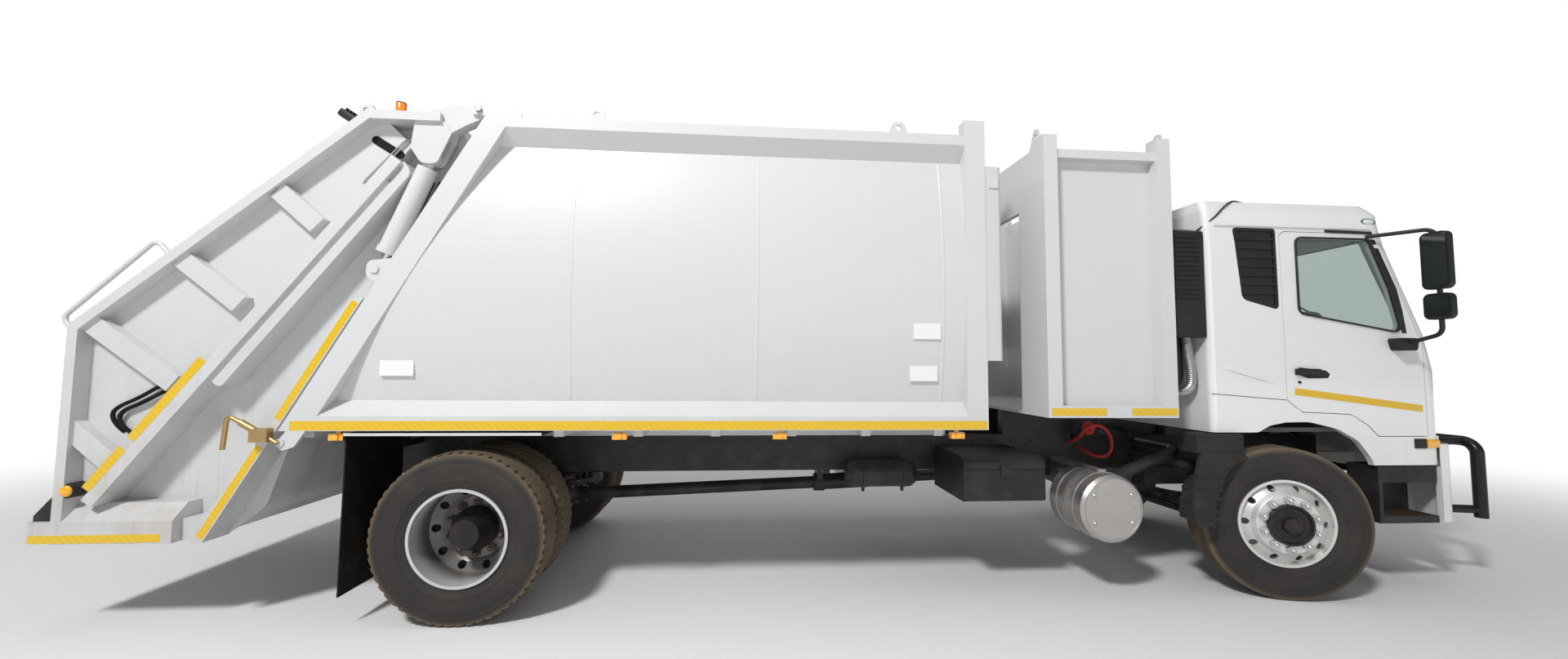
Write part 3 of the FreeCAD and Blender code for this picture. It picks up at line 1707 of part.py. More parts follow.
def lift_rods():
    way = cylinder_way().normalize()
    length = cylinder_way().Length
    top = vec(cylinder_top_x, -arm_side, cylinder_top_z)
    foot = vec(cylinder_foot_x, -arm_side, cylinder_foot_z)
    bar = rod(top + way * 130, top + way * (length - 20), rod_radius)
    half = cylinder_eye_width / 2
    eye = rod_y(foot.x, foot.z, -arm_side - half, -arm_side + half, cylinder_eye_radius - 4)
    pin = rod_y(foot.x, foot.z, -arm_side - half - 4, -arm_side + half + 4, eye_pin_radius)
    return both_sides(fuse([bar, eye, pin]))


# Bin box

def bin_box():
    out = half_width
    inn = half_width - bin_recess
    pieces = []
    for sign in (-1, 1):
        pieces.append(box(bin_rear, bin_front, sign * (out - 100), sign * out, bin_bottom, bin_bottom + bin_rail_height))
        for x in (bin_rear, bin_front - bin_post):
            pieces.append(box(x, x + bin_post, sign * (out - 100), sign * out, bin_bottom, bin_post_top))
        pieces.append(box(bin_rear + bin_post, bin_front - bin_post, sign * (inn - bin_wall), sign * inn, bin_bottom, bin_wall_top))
        pieces.append(box(bin_rear + bin_post, bin_front - bin_post, sign * (out - 100), sign * (out - 20), bin_wall_top - 60, bin_wall_top))
        pieces.append(box(bin_rear, bin_rear + 40, sign * 870, sign * (out - 100), bin_bottom, bin_post_top - 60))
        for x in (bin_rear, bin_front - 16):
            lug = slab_x([(sign * 1040, bin_post_top - 60), (sign * 1100, front_post_top, 30), (sign * 1150, front_post_top, 30), (sign * 1200, bin_post_top - 60)], x, x + 16)
            lug = lug.cut(rod(vec(x - 1, sign * 1122, bin_post_top + 20), vec(x + 17, sign * 1122, bin_post_top + 20), 20))
            pieces.append(lug)
    inner = out - 100
    pieces.append(box(bin_rear, bin_front, -inner, inner, bin_bottom, bin_bottom + 20))
    pieces.append(box(bin_front - 40, bin_front, -inner, inner, bin_bottom, bin_post_top - 60))
    pieces.append(box(bin_rear, bin_rear + 40, -870, 870, 2750, bin_post_top - 60))
    return fuse(pieces)


# Wheels and steering

def tyre(y):
    """One tyre turned about the axle's line, with its middle at y."""
    half = tyre_width / 2.0
    tread = tyre_tread_width / 2.0
    bead = bead_width / 2.0
    shoulder = tyre_radius - 22
    wide = (tyre_radius + bead_radius) / 2.0
    bore = bead_radius + seat_gap
    return [
        (bore, y - bead),
        (flange_radius + 4, y - bead),
        (flange_radius + 30, y - bead - 15),
        (wide, y - half),
        (shoulder, y - half + 14),
        (tyre_radius, y - tread),
        (tyre_radius, y + tread),
        (shoulder, y + half - 14),
        (wide, y + half),
        (flange_radius + 30, y + bead + 15),
        (flange_radius + 4, y + bead),
        (bore, y + bead),
    ]


def front_tyre():
    return spun(tyre(-front_wheel_side), wheelbase, tyre_radius)


def rim(y, disc_y, dish, x, hole_radius):
    """Rim, disc and hub of one wheel; disc_y is the disc's outer face beside the hub."""
    bead = bead_width / 2.0
    line = [
        (bead_radius - rim_wall, y - bead - 14),
        (flange_radius, y - bead - 14),
        (flange_radius, y - bead - 2),
        (bead_radius, y - bead - 2),
        (bead_radius, y + bead + 2),
        (flange_radius, y + bead + 2),
        (flange_radius, y + bead + 14),
        (bead_radius - rim_wall, y + bead + 14),
    ]
    band = spun(line, x, tyre_radius)
    disc_line = [
        (hub_bore, disc_y),
        (disc_flat_radius, disc_y, 12),
        (disc_step_radius, disc_y + dish * 0.4, 12),
        (bead_radius - rim_wall, disc_y + dish),
        (bead_radius - rim_wall, disc_y + dish + 12),
        (disc_step_radius - 4, disc_y + dish * 0.4 + 12, 12),
        (disc_flat_radius - 4, disc_y + 12, 12),
        (hub_bore, disc_y + 12),
    ]
    disc = spun(disc_line, x, tyre_radius)
    for i in range(hand_hole_count):
        angle = math.radians(i * 360.0 / hand_hole_count)
        hx = x + hand_hole_circle * math.cos(angle)
        hz = tyre_radius + hand_hole_circle * math.sin(angle)
        disc = disc.cut(rod_y(hx, hz, disc_y - 60, disc_y + 120, hole_radius))
    return band, disc


def nuts(x, y0, y1):
    pieces = []
    for i in range(wheel_nut_count):
        angle = math.radians((i + 0.5) * 360.0 / wheel_nut_count)
        pieces.append(
            rod_y(x + wheel_nut_circle * math.cos(angle), tyre_radius + wheel_nut_circle * math.sin(angle), y0, y1, wheel_nut_radius)
        )
    return pieces


def front_rim():
    y = -front_wheel_side
    face = y - 149
    band, disc = rim(y, face, 75, wheelbase, front_hand_hole_radius)
    hub = spun(
        [
            (0, face - 48),
            (36, face - 48, 8),
            (52, face - 40, 6),
            (60, face - 12),
            (116, face - 12, 6),
            (126, face - 28, 6),
            (hub_radius, face - 28, 5),
            (hub_radius, face + 20),
            (hub_radius - 20, face + 60),
            (hub_radius - 20, kingpin_front_face - 30),
            (hub_bore + run_gap, kingpin_front_face - 30),
            (hub_bore + run_gap, face + 6),
            (0, face + 6),
        ],
        wheelbase,
        tyre_radius,
    )
    drum = spun(
        [
            (hub_radius - 22, face + 100),
            (190, face + 100),
            (190, kingpin_front_face - 32),
            (176, kingpin_front_face - 32),
            (176, face + 114),
            (hub_radius - 22, face + 114),
        ],
        wheelbase,
        tyre_radius,
    )
    return fuse([band, disc, hub, drum] + nuts(wheelbase, face - 28, face + 2))


kingpin_front_face = -(kingpin_side + 90.0)


def knuckle():
    """Right fork, kingpin, stub axle and steering arm, wheels straight ahead."""
    low = tyre_radius - kingpin_boss_height / 2.0 - swing_gap
    high = tyre_radius + kingpin_boss_height / 2.0 + swing_gap
    y = -kingpin_side
    arms = []
    for z in (low - fork_arm_thickness, high):
        arms.append(
            slab_z(
                [
                    (wheelbase - 48, y + 48, 46),
                    (wheelbase + 48, y + 48, 46),
                    (wheelbase + 60, kingpin_front_face),
                    (wheelbase - 60, kingpin_front_face),
                ],
                z,
                z + fork_arm_thickness,
            )
        )
    web = box(wheelbase - 60, wheelbase + 60, kingpin_front_face, kingpin_front_face + 35, low - fork_arm_thickness, high + fork_arm_thickness)
    pin = Part.makeCylinder(kingpin_radius, high - low + 2 * fork_arm_thickness, vec(wheelbase, y, low - fork_arm_thickness))
    stub = rod_y(wheelbase, tyre_radius, kingpin_front_face, -front_wheel_side - 55, hub_bore)
    arm = slab_z(
        [
            (wheelbase - 30, y + 30),
            (wheelbase - steer_arm_length - 30, y + 28, 26),
            (wheelbase - steer_arm_length - 30, y - 28, 26),
            (wheelbase - 30, y - 30),
        ],
        low - fork_arm_thickness,
        low - fork_arm_thickness + 28,
    )
    return fuse(arms + [web, pin, stub, arm])


def steered(shape, side):
    """The piece turned about its own kingpin to the parked steering angle."""
    turned = shape.copy()
    turned.rotate(vec(wheelbase, sides[side] * kingpin_side, 0), vec(0, 0, 1), steer_at_rest)
    return turned


def tie_rod():
    angle = math.radians(steer_at_rest)
    dx = -steer_arm_length * math.cos(angle)
    dy = -steer_arm_length * math.sin(angle)
    low = tyre_radius - kingpin_boss_height / 2.0 - swing_gap - fork_arm_thickness
    z = low - seat_gap - 20
    pieces = []
    for sign in (-1, 1):
        spot = vec(wheelbase + dx, sign * kingpin_side + dy, low - seat_gap)
        pieces.append(Part.makeCylinder(22, 38, spot, vec(0, 0, -1)))
    a = vec(wheelbase + dx, -kingpin_side + dy, z)
    b = vec(wheelbase + dx, kingpin_side + dy, z)
    pieces.append(rod(a, b, tie_rod_radius))
    return fuse(pieces)


def rear_tyres():
    outer = spun(tyre(-rear_outer_side), 0, tyre_radius)
    inner = spun(tyre(-rear_inner_side), 0, tyre_radius)
    return Part.makeCompound([outer, inner])


def rear_rims():
    middle = -(rear_outer_side + rear_inner_side) / 2.0
    band_outer, disc_outer = rim(-rear_outer_side, middle - 14, -40, 0, rear_hand_hole_radius)
    band_inner, disc_inner = rim(-rear_inner_side, middle + 2, 40, 0, rear_hand_hole_radius)
    hub = spun(
        [
            (0, -rear_outer_side - 30),
            (86, -rear_outer_side - 30, 12),
            (98, -rear_outer_side + 15),
            (hub_radius, middle - 70),
            (hub_radius, middle - 14),
            (hub_radius, middle + 90),
            (hub_bore + run_gap, middle + 90),
            (hub_bore + run_gap, -rear_outer_side + 5),
            (0, -rear_outer_side + 5),
        ],
        0,
        tyre_radius,
    )
    drum = spun(
        [
            (hub_radius - 2, middle + 20),
            (205, middle + 20),
            (205, middle + 200),
            (190, middle + 200),
            (190, middle + 34),
            (hub_radius - 2, middle + 34),
        ],
        0,
        tyre_radius,
    )
    spacer = spun(
        [
            (hub_bore + run_gap, middle - 14),
            (disc_flat_radius - 12, middle - 14),
            (disc_flat_radius - 12, middle + 14),
            (hub_bore + run_gap, middle + 14),
        ],
        0,
        tyre_radius,
    )
    return fuse([band_outer, disc_outer, band_inner, disc_inner, hub, drum, spacer] + nuts(0, middle - 40, middle - 12))


# Nodes

def make_nodes():
    nodes = {}
    nodes["chassis_frame"] = chassis_frame()
    nodes["front_axle"] = front_axle()
    nodes["rear_axle"] = rear_axle()
    nodes["leaf_springs"] = leaf_springs()
    nodes["engine"] = engine()
    nodes["prop_shaft"] = prop_shaft()
    nodes["air_tank"] = air_tank()
    nodes["battery_box"] = battery_box()
    nodes["silencer"] = silencer()
    nodes["exhaust_pipe"] = exhaust_pipe()
    nodes["fuel_tank"] = fuel_tank()
    nodes["mudguards"] = mudguards()
    nodes["marker_lamps"] = marker_lamps()
    nodes["bumper"] = bumper()
    nodes["bull_bar"] = bull_bar()
    nodes["cab_steps"] = cab_steps()
    roof, back, front, side_rest, doors, glasses, screen = make_cab()
    nodes["cab_floor"] = cab_floor()
    nodes["cab_back_wall"] = back
    nodes["cab_sides"] = side_rest
    nodes["cab_roof"] = roof
    nodes["cab_front_panel"] = front
    nodes["windscreen"] = screen
    nodes["quarter_louvres"] = quarter_louvres()
    nodes["dashboard"] = dashboard()
    nodes["seats"] = seats()
    nodes["air_intake"] = air_intake()
    nodes["body_floor"] = body_floor()
    nodes["body_roof"] = body_roof()
    nodes["body_front_wall"] = body_front_wall()
    nodes["body_rear_frame"] = body_rear_frame()
    nodes["bin_box"] = bin_box()
    nodes["tailgate_hood"] = tailgate_hood()
    nodes["hopper_pan"] = hopper_pan()
    nodes["tailgate_clamps"] = tailgate_clamps()
    nodes["tail_lamps"] = tail_lamps()
    nodes["packer_carriage"] = packer_carriage()
    nodes["packer_blade"] = packer_blade()
    nodes["lift_cylinders"] = lift_cylinders()
    nodes["lift_rods"] = lift_rods()
    nodes["tie_rod"] = tie_rod()
    for side in sides:
        nodes["body_side_" + side] = on_side(body_side(), side)
        nodes["tailgate_side_" + side] = on_side(tailgate_side(), side)
        nodes["door_" + side] = doors[side]
        nodes["door_glass_" + side] = glasses[side]
        nodes["mirror_" + side] = on_side(mirror(), side)
        nodes["knuckle_" + side] = steered(on_side(knuckle(), side), side)
        nodes["front_tyre_" + side] = steered(on_side(front_tyre(), side), side)
        nodes["front_rim_" + side] = steered(on_side(front_rim(), side), side)
        nodes["rear_tyres_" + side] = on_side(rear_tyres(), side)
        nodes["rear_rims_" + side] = on_side(rear_rims(), side)
    return nodes


os.makedirs("parts", exist_ok=True)
for name, shape in make_nodes().items():
    shape.translated(vec(origin_shift, 0, 0)).exportStep("parts/" + name + ".step")
    print(name, len(shape.Solids), shape.isValid(), round(shape.Volume / 1e9, 4))
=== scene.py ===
import json
import math

import bmesh
import bpy
from mathutils import Matrix, Vector

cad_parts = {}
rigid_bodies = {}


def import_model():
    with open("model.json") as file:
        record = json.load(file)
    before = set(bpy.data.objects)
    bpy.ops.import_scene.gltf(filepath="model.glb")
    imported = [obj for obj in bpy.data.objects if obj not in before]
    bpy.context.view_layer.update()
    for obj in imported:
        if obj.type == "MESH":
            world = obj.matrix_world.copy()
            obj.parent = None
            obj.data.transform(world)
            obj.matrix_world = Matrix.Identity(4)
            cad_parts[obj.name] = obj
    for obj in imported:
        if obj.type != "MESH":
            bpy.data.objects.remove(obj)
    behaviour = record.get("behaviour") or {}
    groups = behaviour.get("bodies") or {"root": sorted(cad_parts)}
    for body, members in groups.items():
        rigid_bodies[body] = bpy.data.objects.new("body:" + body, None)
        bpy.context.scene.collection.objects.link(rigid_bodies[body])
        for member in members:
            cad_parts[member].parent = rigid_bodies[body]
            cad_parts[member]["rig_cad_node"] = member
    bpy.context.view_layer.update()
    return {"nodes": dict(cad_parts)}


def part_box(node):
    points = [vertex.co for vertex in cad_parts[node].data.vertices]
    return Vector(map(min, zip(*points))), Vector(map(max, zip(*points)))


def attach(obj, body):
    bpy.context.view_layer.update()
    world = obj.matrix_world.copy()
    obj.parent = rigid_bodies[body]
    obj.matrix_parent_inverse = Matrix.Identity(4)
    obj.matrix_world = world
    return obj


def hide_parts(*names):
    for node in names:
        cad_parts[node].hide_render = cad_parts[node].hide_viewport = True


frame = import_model()
print("frame loaded:", len(frame["nodes"]), "nodes")

# The truck is set out from its rear axle, as the CAD is; the frame's origin is under its middle.
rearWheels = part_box("rear_tyres_right")
axleX = (rearWheels[0].x + rearWheels[1].x) / 2
sides = {"right": -1, "left": 1}

truck = {
    "wheelbase": 5.61,
    "kingpinSide": 0.86,
    "steerAtRest": math.radians(-16),
    "tyreRadius": 0.525,
    "halfWidth": 1.225,
    "cabHalfWidth": 1.12,
}


def place(x, y, z):
    return Vector((x + axleX, y, z))


def wired(tree, kind, inputs, settings):
    # a new node with its settings, and its inputs linked or set; a list is several links
    made = tree.nodes.new(kind)
    for key, value in settings.items():
        setattr(made, key, value)
    for key, value in (inputs or {}).items():
        for one in value if isinstance(value, list) else [value]:
            one = one.socket if isinstance(one, Tone) else one
            if isinstance(one, bpy.types.NodeSocket):
                tree.links.new(one, made.inputs[key])
            else:
                made.inputs[key].default_value = one
    return made


# Materials

class Tone:
    # a shader socket that takes sums
    def __init__(self, finish, socket):
        self.finish = finish
        self.socket = socket

    def maths(self, operation, other=None, swapped=False):
        first, second = (other, self) if swapped else (self, other)
        inputs = {0: first} if second is None else {0: first, 1: second}
        return self.finish.node("Math", inputs, operation=operation)["Value"]

    def __add__(self, other):
        return self.maths("ADD", other)

    def __sub__(self, other):
        return self.maths("SUBTRACT", other)

    def __rsub__(self, other):
        return self.maths("SUBTRACT", other, True)

    def __mul__(self, other):
        return self.maths("MULTIPLY", other)

    def clamp(self):
        return self.maths("MAXIMUM", 0.0).maths("MINIMUM", 1.0)


class Made:
    # a node just made, whose outputs are read by name
    def __init__(self, finish, node):
        self.finish = finish
        self.node = node

    def __getitem__(self, name):
        return Tone(self.finish, self.node.outputs[name])


class Finish:
    # a material's nodes, or those of the world given
    def __init__(self, name, world=None):
        self.material = world or bpy.data.materials.new(name)
        self.material.use_nodes = True
        self.tree = self.material.node_tree
        self.tree.nodes.clear()
        self.coords = None

    def node(self, kind, inputs=None, **settings):
        return Made(self, wired(self.tree, "ShaderNode" + kind, inputs, settings))

    def position(self):
        if self.coords is None:
            self.coords = self.node("TexCoord")["Object"]
        return self.coords

    def axis(self, name):
        return self.node("SeparateXYZ", {0: self.position()})[name]

    def stretched(self, scale):
        return self.node("Mapping", {"Vector": self.position(), "Scale": scale})["Vector"]

    def noise(self, scale, detail=3.0, stretch=None):
        vector = self.stretched(stretch) if stretch else self.position()
        values = {"Vector": vector, "Scale": scale, "Detail": detail, "Roughness": 0.55}
        return self.node("TexNoise", values)["Fac"]

    def steps(self, low, high, value):
        # 0 below low, 1 above high
        values = {"Value": value, "From Min": low, "From Max": high}
        return self.node("MapRange", values, interpolation_type="SMOOTHSTEP")["Result"]

    def mix(self, factor, first, second):
        values = {0: factor, 6: self.colour(first), 7: self.colour(second)}
        made = self.node("Mix", values, data_type="RGBA")
        return Tone(self, made.node.outputs[2])

    def colour(self, value):
        return value if isinstance(value, Tone) else (*value[:3], 1)

    def bump(self, height, strength, distance):
        made = self.node("Bump", {"Height": height, "Strength": strength, "Distance": distance})
        return made["Normal"]

    def surface(self, colour, **inputs):
        given = {shaderSockets[key]: value for key, value in inputs.items()}
        shader = self.node("BsdfPrincipled", {"Base Color": self.colour(colour), **given})
        return self.finished(shader["BSDF"])

    def finished(self, shader):
        self.node("OutputMaterial", {"Surface": shader})
        return self.material


shaderSockets = {
    "roughness": "Roughness",
    "metallic": "Metallic",
    "coat": "Coat Weight",
    "coatRoughness": "Coat Roughness",
    "normal": "Normal",
    "specular": "Specular IOR Level",
    "sheen": "Sheen Weight",
    "emission": "Emission Color",
    "emissionStrength": "Emission Strength",
}

dust = (0.36, 0.29, 0.22)


def paintedFinish(f, colour, gloss=0.28, coat=0.5, dirtTop=1.5, dirt=0.35, wave=0.0, streak=0.15):
    low = 1 - f.steps(0.45, dirtTop, f.axis("Z"))
    speckle = f.steps(0.42, 0.72, f.noise(3.5, 6.0, (1, 1, 0.6)))
    run = f.steps(0.5, 0.75, f.noise(5.0, 3.0, (3.0, 3.0, 0.25)))
    grime = (low * (speckle * 0.8 + 0.15) * dirt + run * low * streak).clamp()
    soft = f.noise(1.2, 2.0)
    base = f.mix(soft * 0.25, colour, tuple(c * 0.93 for c in colour))
    return f.surface(
        f.mix(grime, base, dust),
        roughness=grime * 0.4 + gloss,
        coat=coat,
        coatRoughness=0.08,
        normal=f.bump(f.noise(2.2, 1.0), wave, 0.02) if wave else f.bump(f.noise(900, 1.0), 0.02, 0.0004),
    )


def darkFinish(f, colour, gloss=0.45, metal=0.0, dirt=0.5, grain=0.15, dirtTop=1.4, shine=0.35, ahead=None):
    # ahead: a paler tone for what sits at the truck's front end
    patch = f.steps(0.40, 0.75, f.noise(7.0, 7.0))
    fine = f.noise(60.0, 4.0)
    low = 1 - f.steps(0.3, dirtTop, f.axis("Z"))
    grime = ((patch * 0.75 + fine * 0.25) * (low * 0.8 + 0.2) * dirt).clamp()
    base = f.mix(f.steps(0.0, 1.5, f.axis("X")), colour, ahead) if ahead else colour
    return f.surface(
        f.mix(grime, base, dust),
        roughness=grime * 0.35 + gloss,
        metallic=metal,
        specular=shine,
        normal=f.bump(fine, grain, 0.0015),
    )


def rimFinish(f, colour, metal, dishShadeAndDust=None):
    # dishShadeAndDust: the darker tone inside the wheel's dish, painted shade and dust together
    speckle = f.steps(0.42, 0.78, f.noise(5.0, 4.0))
    fine = f.noise(90.0, 3.0)
    base = f.mix(speckle * 0.25, colour, (0.34, 0.31, 0.28))
    if dishShadeAndDust:
        # the dish's inside, nearer the truck's middle, takes that darker tone: painted shade and dust
        across = f.axis("Y").maths("ABSOLUTE")
        base = f.mix(1 - f.steps(1.02, 1.17, across), base, dishShadeAndDust)
        return f.surface(base, metallic=metal, roughness=speckle * 0.25 + 0.38, normal=f.bump(fine, 0.10, 0.0008))
    return f.surface(
        f.mix(speckle * 0.5, colour, base),
        metallic=metal - speckle * 0.12,
        roughness=speckle * 0.10 + 0.34,
        normal=f.bump(fine, 0.02, 0.0004),
    )


def glassFinish(f, tint, clear):
    values = {"Base Color": (*tint, 1), "Roughness": f.noise(4.0, 4.0) * 0.05 + 0.02, "IOR": 1.45}
    glossy = f.node("BsdfPrincipled", values)["BSDF"]
    through = f.node("BsdfTransparent", {"Color": (0.86, 0.90, 0.89, 1)})["BSDF"]
    rim = f.node("Fresnel", {"IOR": 1.45})["Fac"]
    inside = f.node("NewGeometry")["Backfacing"]
    share = (rim * (1 - inside) * 0.8 + (1 - clear)).clamp()
    return f.finished(f.node("MixShader", {0: share, 1: through, 2: glossy})["Shader"])


def lensFinish(f, colour, glow=0.0):
    ribs = f.node("TexVoronoi", {"Vector": f.position(), "Scale": 90.0}, feature="F1")["Distance"]
    return f.surface(
        f.mix(ribs * 0.5, colour, tuple(min(1, c * 1.5 + 0.03) for c in colour)),
        roughness=0.12,
        coat=0.8,
        normal=f.bump(ribs, 0.25, 0.002),
        emission=(*colour, 1),
        emissionStrength=glow,
    )


def tyreFinish(f):
    # the mesh's own "worn" value runs from 0 on the side wall to 1 on the tread
    worn = f.node("Attribute", attribute_name="worn")["Fac"]
    cake = f.steps(0.35, 0.75, f.noise(5.0, 5.0))
    fine = f.noise(140.0, 5.0)
    wall = f.mix((cake * 0.45 + fine * 0.15).clamp(), (0.030, 0.027, 0.025), (0.056, 0.048, 0.041))
    crown = f.mix((cake * 0.4 + fine * 0.4).clamp(), (0.17, 0.125, 0.080), (0.075, 0.060, 0.046))
    rough = f.bump(fine, 0.3, 0.0015)
    return f.surface(f.mix(worn, wall, crown), roughness=worn * 0.2 + 0.7, specular=0.3, normal=rough)


def tapeFinish(f):
    values = {"Vector": f.position(), "Scale": 14.0, "Distortion": 0.4}
    weave = f.node("TexWave", values, wave_type="BANDS", bands_direction="DIAGONAL")["Fac"]
    values = {"Vector": f.position(), "Scale": 130.0}
    cells = f.node("TexVoronoi", values, feature="DISTANCE_TO_EDGE")["Distance"]
    mark = f.steps(0.86, 0.90, weave)
    wear = f.steps(0.62, 0.75, f.noise(14.0, 6.0))
    base = f.mix(mark * 0.4, (0.74, 0.47, 0.008), (0.58, 0.35, 0.012))
    base = f.mix(wear * 0.12, base, (0.62, 0.46, 0.16))
    return f.surface(base, roughness=0.35, coat=0.3, normal=f.bump(cells, 0.15, 0.0006))


def clothFinish(f, colour):
    weave, across = (
        f.node("TexWave", {"Vector": f.position(), "Scale": 260.0}, bands_direction=way)["Fac"]
        for way in "ZY"
    )
    soft = f.noise(6.0, 4.0)
    return f.surface(
        f.mix(soft * 0.5, colour, tuple(c * 1.8 + 0.02 for c in colour)),
        roughness=0.92,
        sheen=0.4,
        normal=f.bump(weave * across, 0.3, 0.0008),
    )


def bareFinish(f, colour, rough=0.35, brushed=(1, 1, 40)):
    lines = f.noise(18.0, 3.0, brushed)
    stain = f.steps(0.45, 0.75, f.noise(6.0, 6.0))
    return f.surface(
        f.mix(stain * 0.45, colour, (0.34, 0.29, 0.24)),
        metallic=0.9 - stain * 0.5,
        roughness=lines * 0.15 + rough,
        normal=f.bump(lines, 0.08, 0.0008),
    )


def mirrorFinish(f):
    return f.surface((0.20, 0.21, 0.22), metallic=1.0, roughness=f.noise(3.0, 2.0) * 0.06 + 0.08)


# name, maker and the maker's values
looks = (
    ("cabWhite", paintedFinish, (0.81, 0.81, 0.80), 0.22, 0.8, 1.35, 0.22),
    ("bodyGrey", paintedFinish, (0.625, 0.635, 0.64), 0.42, 0.12, 1.75, 0.30, 0.06),
    ("tailGrey", paintedFinish, (0.60, 0.61, 0.615), 0.42, 0.15, 2.3, 0.40, 0.04, 0.25),
    ("frameBlack", darkFinish, (0.014, 0.014, 0.015), 0.42, 0.0, 0.16),
    ("axleBlack", darkFinish, (0.022, 0.021, 0.020), 0.5, 0.2, 0.35),
    ("plasticBlack", darkFinish, (0.014, 0.014, 0.015), 0.5, 0.0, 0.10, 0.25),
    ("guardBlack", darkFinish, (0.010, 0.008, 0.007), 0.30, 0.0, 0.06, 0.03),
    ("trimGrey", darkFinish, (0.075, 0.075, 0.08), 0.6, 0.0, 0.08, 0.3),
    ("rubberBlack", darkFinish, (0.008, 0.008, 0.008), 0.75, 0.0, 0.08, 0.2, 1.4, 0.2, (0.030, 0.030, 0.032)),
    # the rear rims' last tone darkens the dish's inside: painted shade and dust
    ("rimSilver", rimFinish, (0.62, 0.61, 0.60), 0.4, (0.17, 0.16, 0.15)),
    ("rimBright", rimFinish, (0.74, 0.73, 0.71), 0.55),
    ("hubBlack", darkFinish, (0.010, 0.009, 0.009), 0.42, 0.0, 0.12),
    ("nutSteel", bareFinish, (0.42, 0.40, 0.38), 0.4),
    ("nutBright", bareFinish, (0.74, 0.73, 0.72), 0.25),
    ("nutDark", bareFinish, (0.13, 0.115, 0.10), 0.5),
    ("silencerSteel", bareFinish, (0.52, 0.50, 0.48), 0.36, (1, 40, 1)),
    ("rodChrome", bareFinish, (0.72, 0.72, 0.72), 0.12),
    ("engineGrey", darkFinish, (0.10, 0.105, 0.11), 0.5, 0.3, 0.5),
    ("tankGrey", paintedFinish, (0.30, 0.31, 0.32), 0.3, 0.3, 1.2, 0.5),
    ("tyre", tyreFinish),
    ("tape", tapeFinish),
    ("glass", glassFinish, (0.34, 0.39, 0.39), 0.88),
    ("mirror", mirrorFinish),
    ("lensAmber", lensFinish, (0.84, 0.36, 0.012), 0.04),
    ("lensOrange", lensFinish, (0.86, 0.20, 0.01), 0.06),
    ("lensRed", lensFinish, (0.50, 0.015, 0.012), 0.05),
    ("lensClear", lensFinish, (0.62, 0.64, 0.66)),
    ("plateWhite", paintedFinish, (0.82, 0.82, 0.80), 0.35, 0.2, 0.6, 0.1),
    ("seatCloth", clothFinish, (0.035, 0.036, 0.042)),
    ("stepRust", bareFinish, (0.16, 0.105, 0.07), 0.55),
    ("brass", bareFinish, (0.50, 0.34, 0.15), 0.35),
    ("hoseSilver", bareFinish, (0.50, 0.50, 0.50), 0.3, (1, 1, 120)),
    ("hoseRed", darkFinish, (0.42, 0.03, 0.02), 0.45, 0.0, 0.2),
)
look = {name: maker(Finish(name), *values) for name, maker, *values in looks}
print("finishes made:", len(look))


# CAD nodes and their finishes

finishNodes = {
    "frameBlack": "chassis_frame prop_shaft air_tank exhaust_pipe",
    "axleBlack": "front_axle rear_axle leaf_springs tie_rod knuckle_right knuckle_left",
    "engineGrey": "engine",
    "plasticBlack": "battery_box quarter_louvres air_intake tail_lamps cab_steps mirror_right mirror_left",
    "silencerSteel": "silencer",
    "tankGrey": "fuel_tank",
    "rubberBlack": "mudguards",
    "lensAmber": "marker_lamps",
    "guardBlack": "bull_bar",
    "trimGrey": "cab_floor dashboard",
    "cabWhite": "bumper cab_back_wall cab_sides cab_roof cab_front_panel door_right door_left",
    "glass": "windscreen door_glass_right door_glass_left",
    "seatCloth": "seats",
    "bodyGrey": "body_floor body_roof body_front_wall body_rear_frame body_side_right body_side_left bin_box"
    " lift_cylinders",
    "tailGrey": "tailgate_hood hopper_pan packer_carriage packer_blade tailgate_side_right tailgate_side_left",
    "brass": "tailgate_clamps",
    "rodChrome": "lift_rods",
    "tyre": "front_tyre_right front_tyre_left rear_tyres_right rear_tyres_left",
    "rimBright": "front_rim_right front_rim_left",
    "rimSilver": "rear_rims_right rear_rims_left",
}
nodeLooks = {node: finish for finish, nodes in finishNodes.items() for node in nodes.split()}

cadObjects = {o["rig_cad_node"]: o for o in bpy.context.scene.objects if "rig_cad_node" in o}
for name, o in cadObjects.items():
    finish = look[nodeLooks.get(name, "frameBlack")]
    if not o.material_slots:
        o.data.materials.append(finish)
    for holder in o.material_slots:
        holder.material = finish
print("nodes dressed:", len(cadObjects))


# Mesh helpers

def held(name, data):
    # an object in the scene
    o = bpy.data.objects.new(name, data)
    bpy.context.scene.collection.objects.link(o)
    return o


def evaluated(holder):
    # plain mesh of what the object's modifiers make
    return bpy.data.meshes.new_from_object(holder.evaluated_get(bpy.context.evaluated_depsgraph_get()))


def newPiece(name, mesh, body, finish):
    o = held(name, mesh)
    if finish:
        o.data.materials.clear()
        o.data.materials.append(look[finish])
    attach(o, body)
    return o


def meshFrom(name, build):
    work = bmesh.new()
    build(work)
    bmesh.ops.remove_doubles(work, verts=work.verts, dist=0.00005)
    bmesh.ops.recalc_face_normals(work, faces=work.faces)
    mesh = bpy.data.meshes.new(name)
    work.to_mesh(mesh)
    work.free()
    return mesh


def smooth(mesh, angle=35):
    mesh.shade_smooth()
    mesh.set_sharp_from_angle(angle=math.radians(angle))
    return mesh


def addBox(work, low, high, bevel=0.0, turn=None):
    size = high - low
    made = bmesh.ops.create_cube(work, size=1.0)["verts"]
    bmesh.ops.scale(work, vec=size, verts=made)
    if turn:
        bmesh.ops.rotate(work, cent=(0, 0, 0), matrix=turn, verts=made)
    bmesh.ops.translate(work, vec=(low + high) / 2, verts=made)
    if bevel:
        edges = {e for v in made for e in v.link_edges}
        bmesh.ops.bevel(work, geom=list(edges), offset=bevel, segments=2, affect="EDGES", profile=0.7)


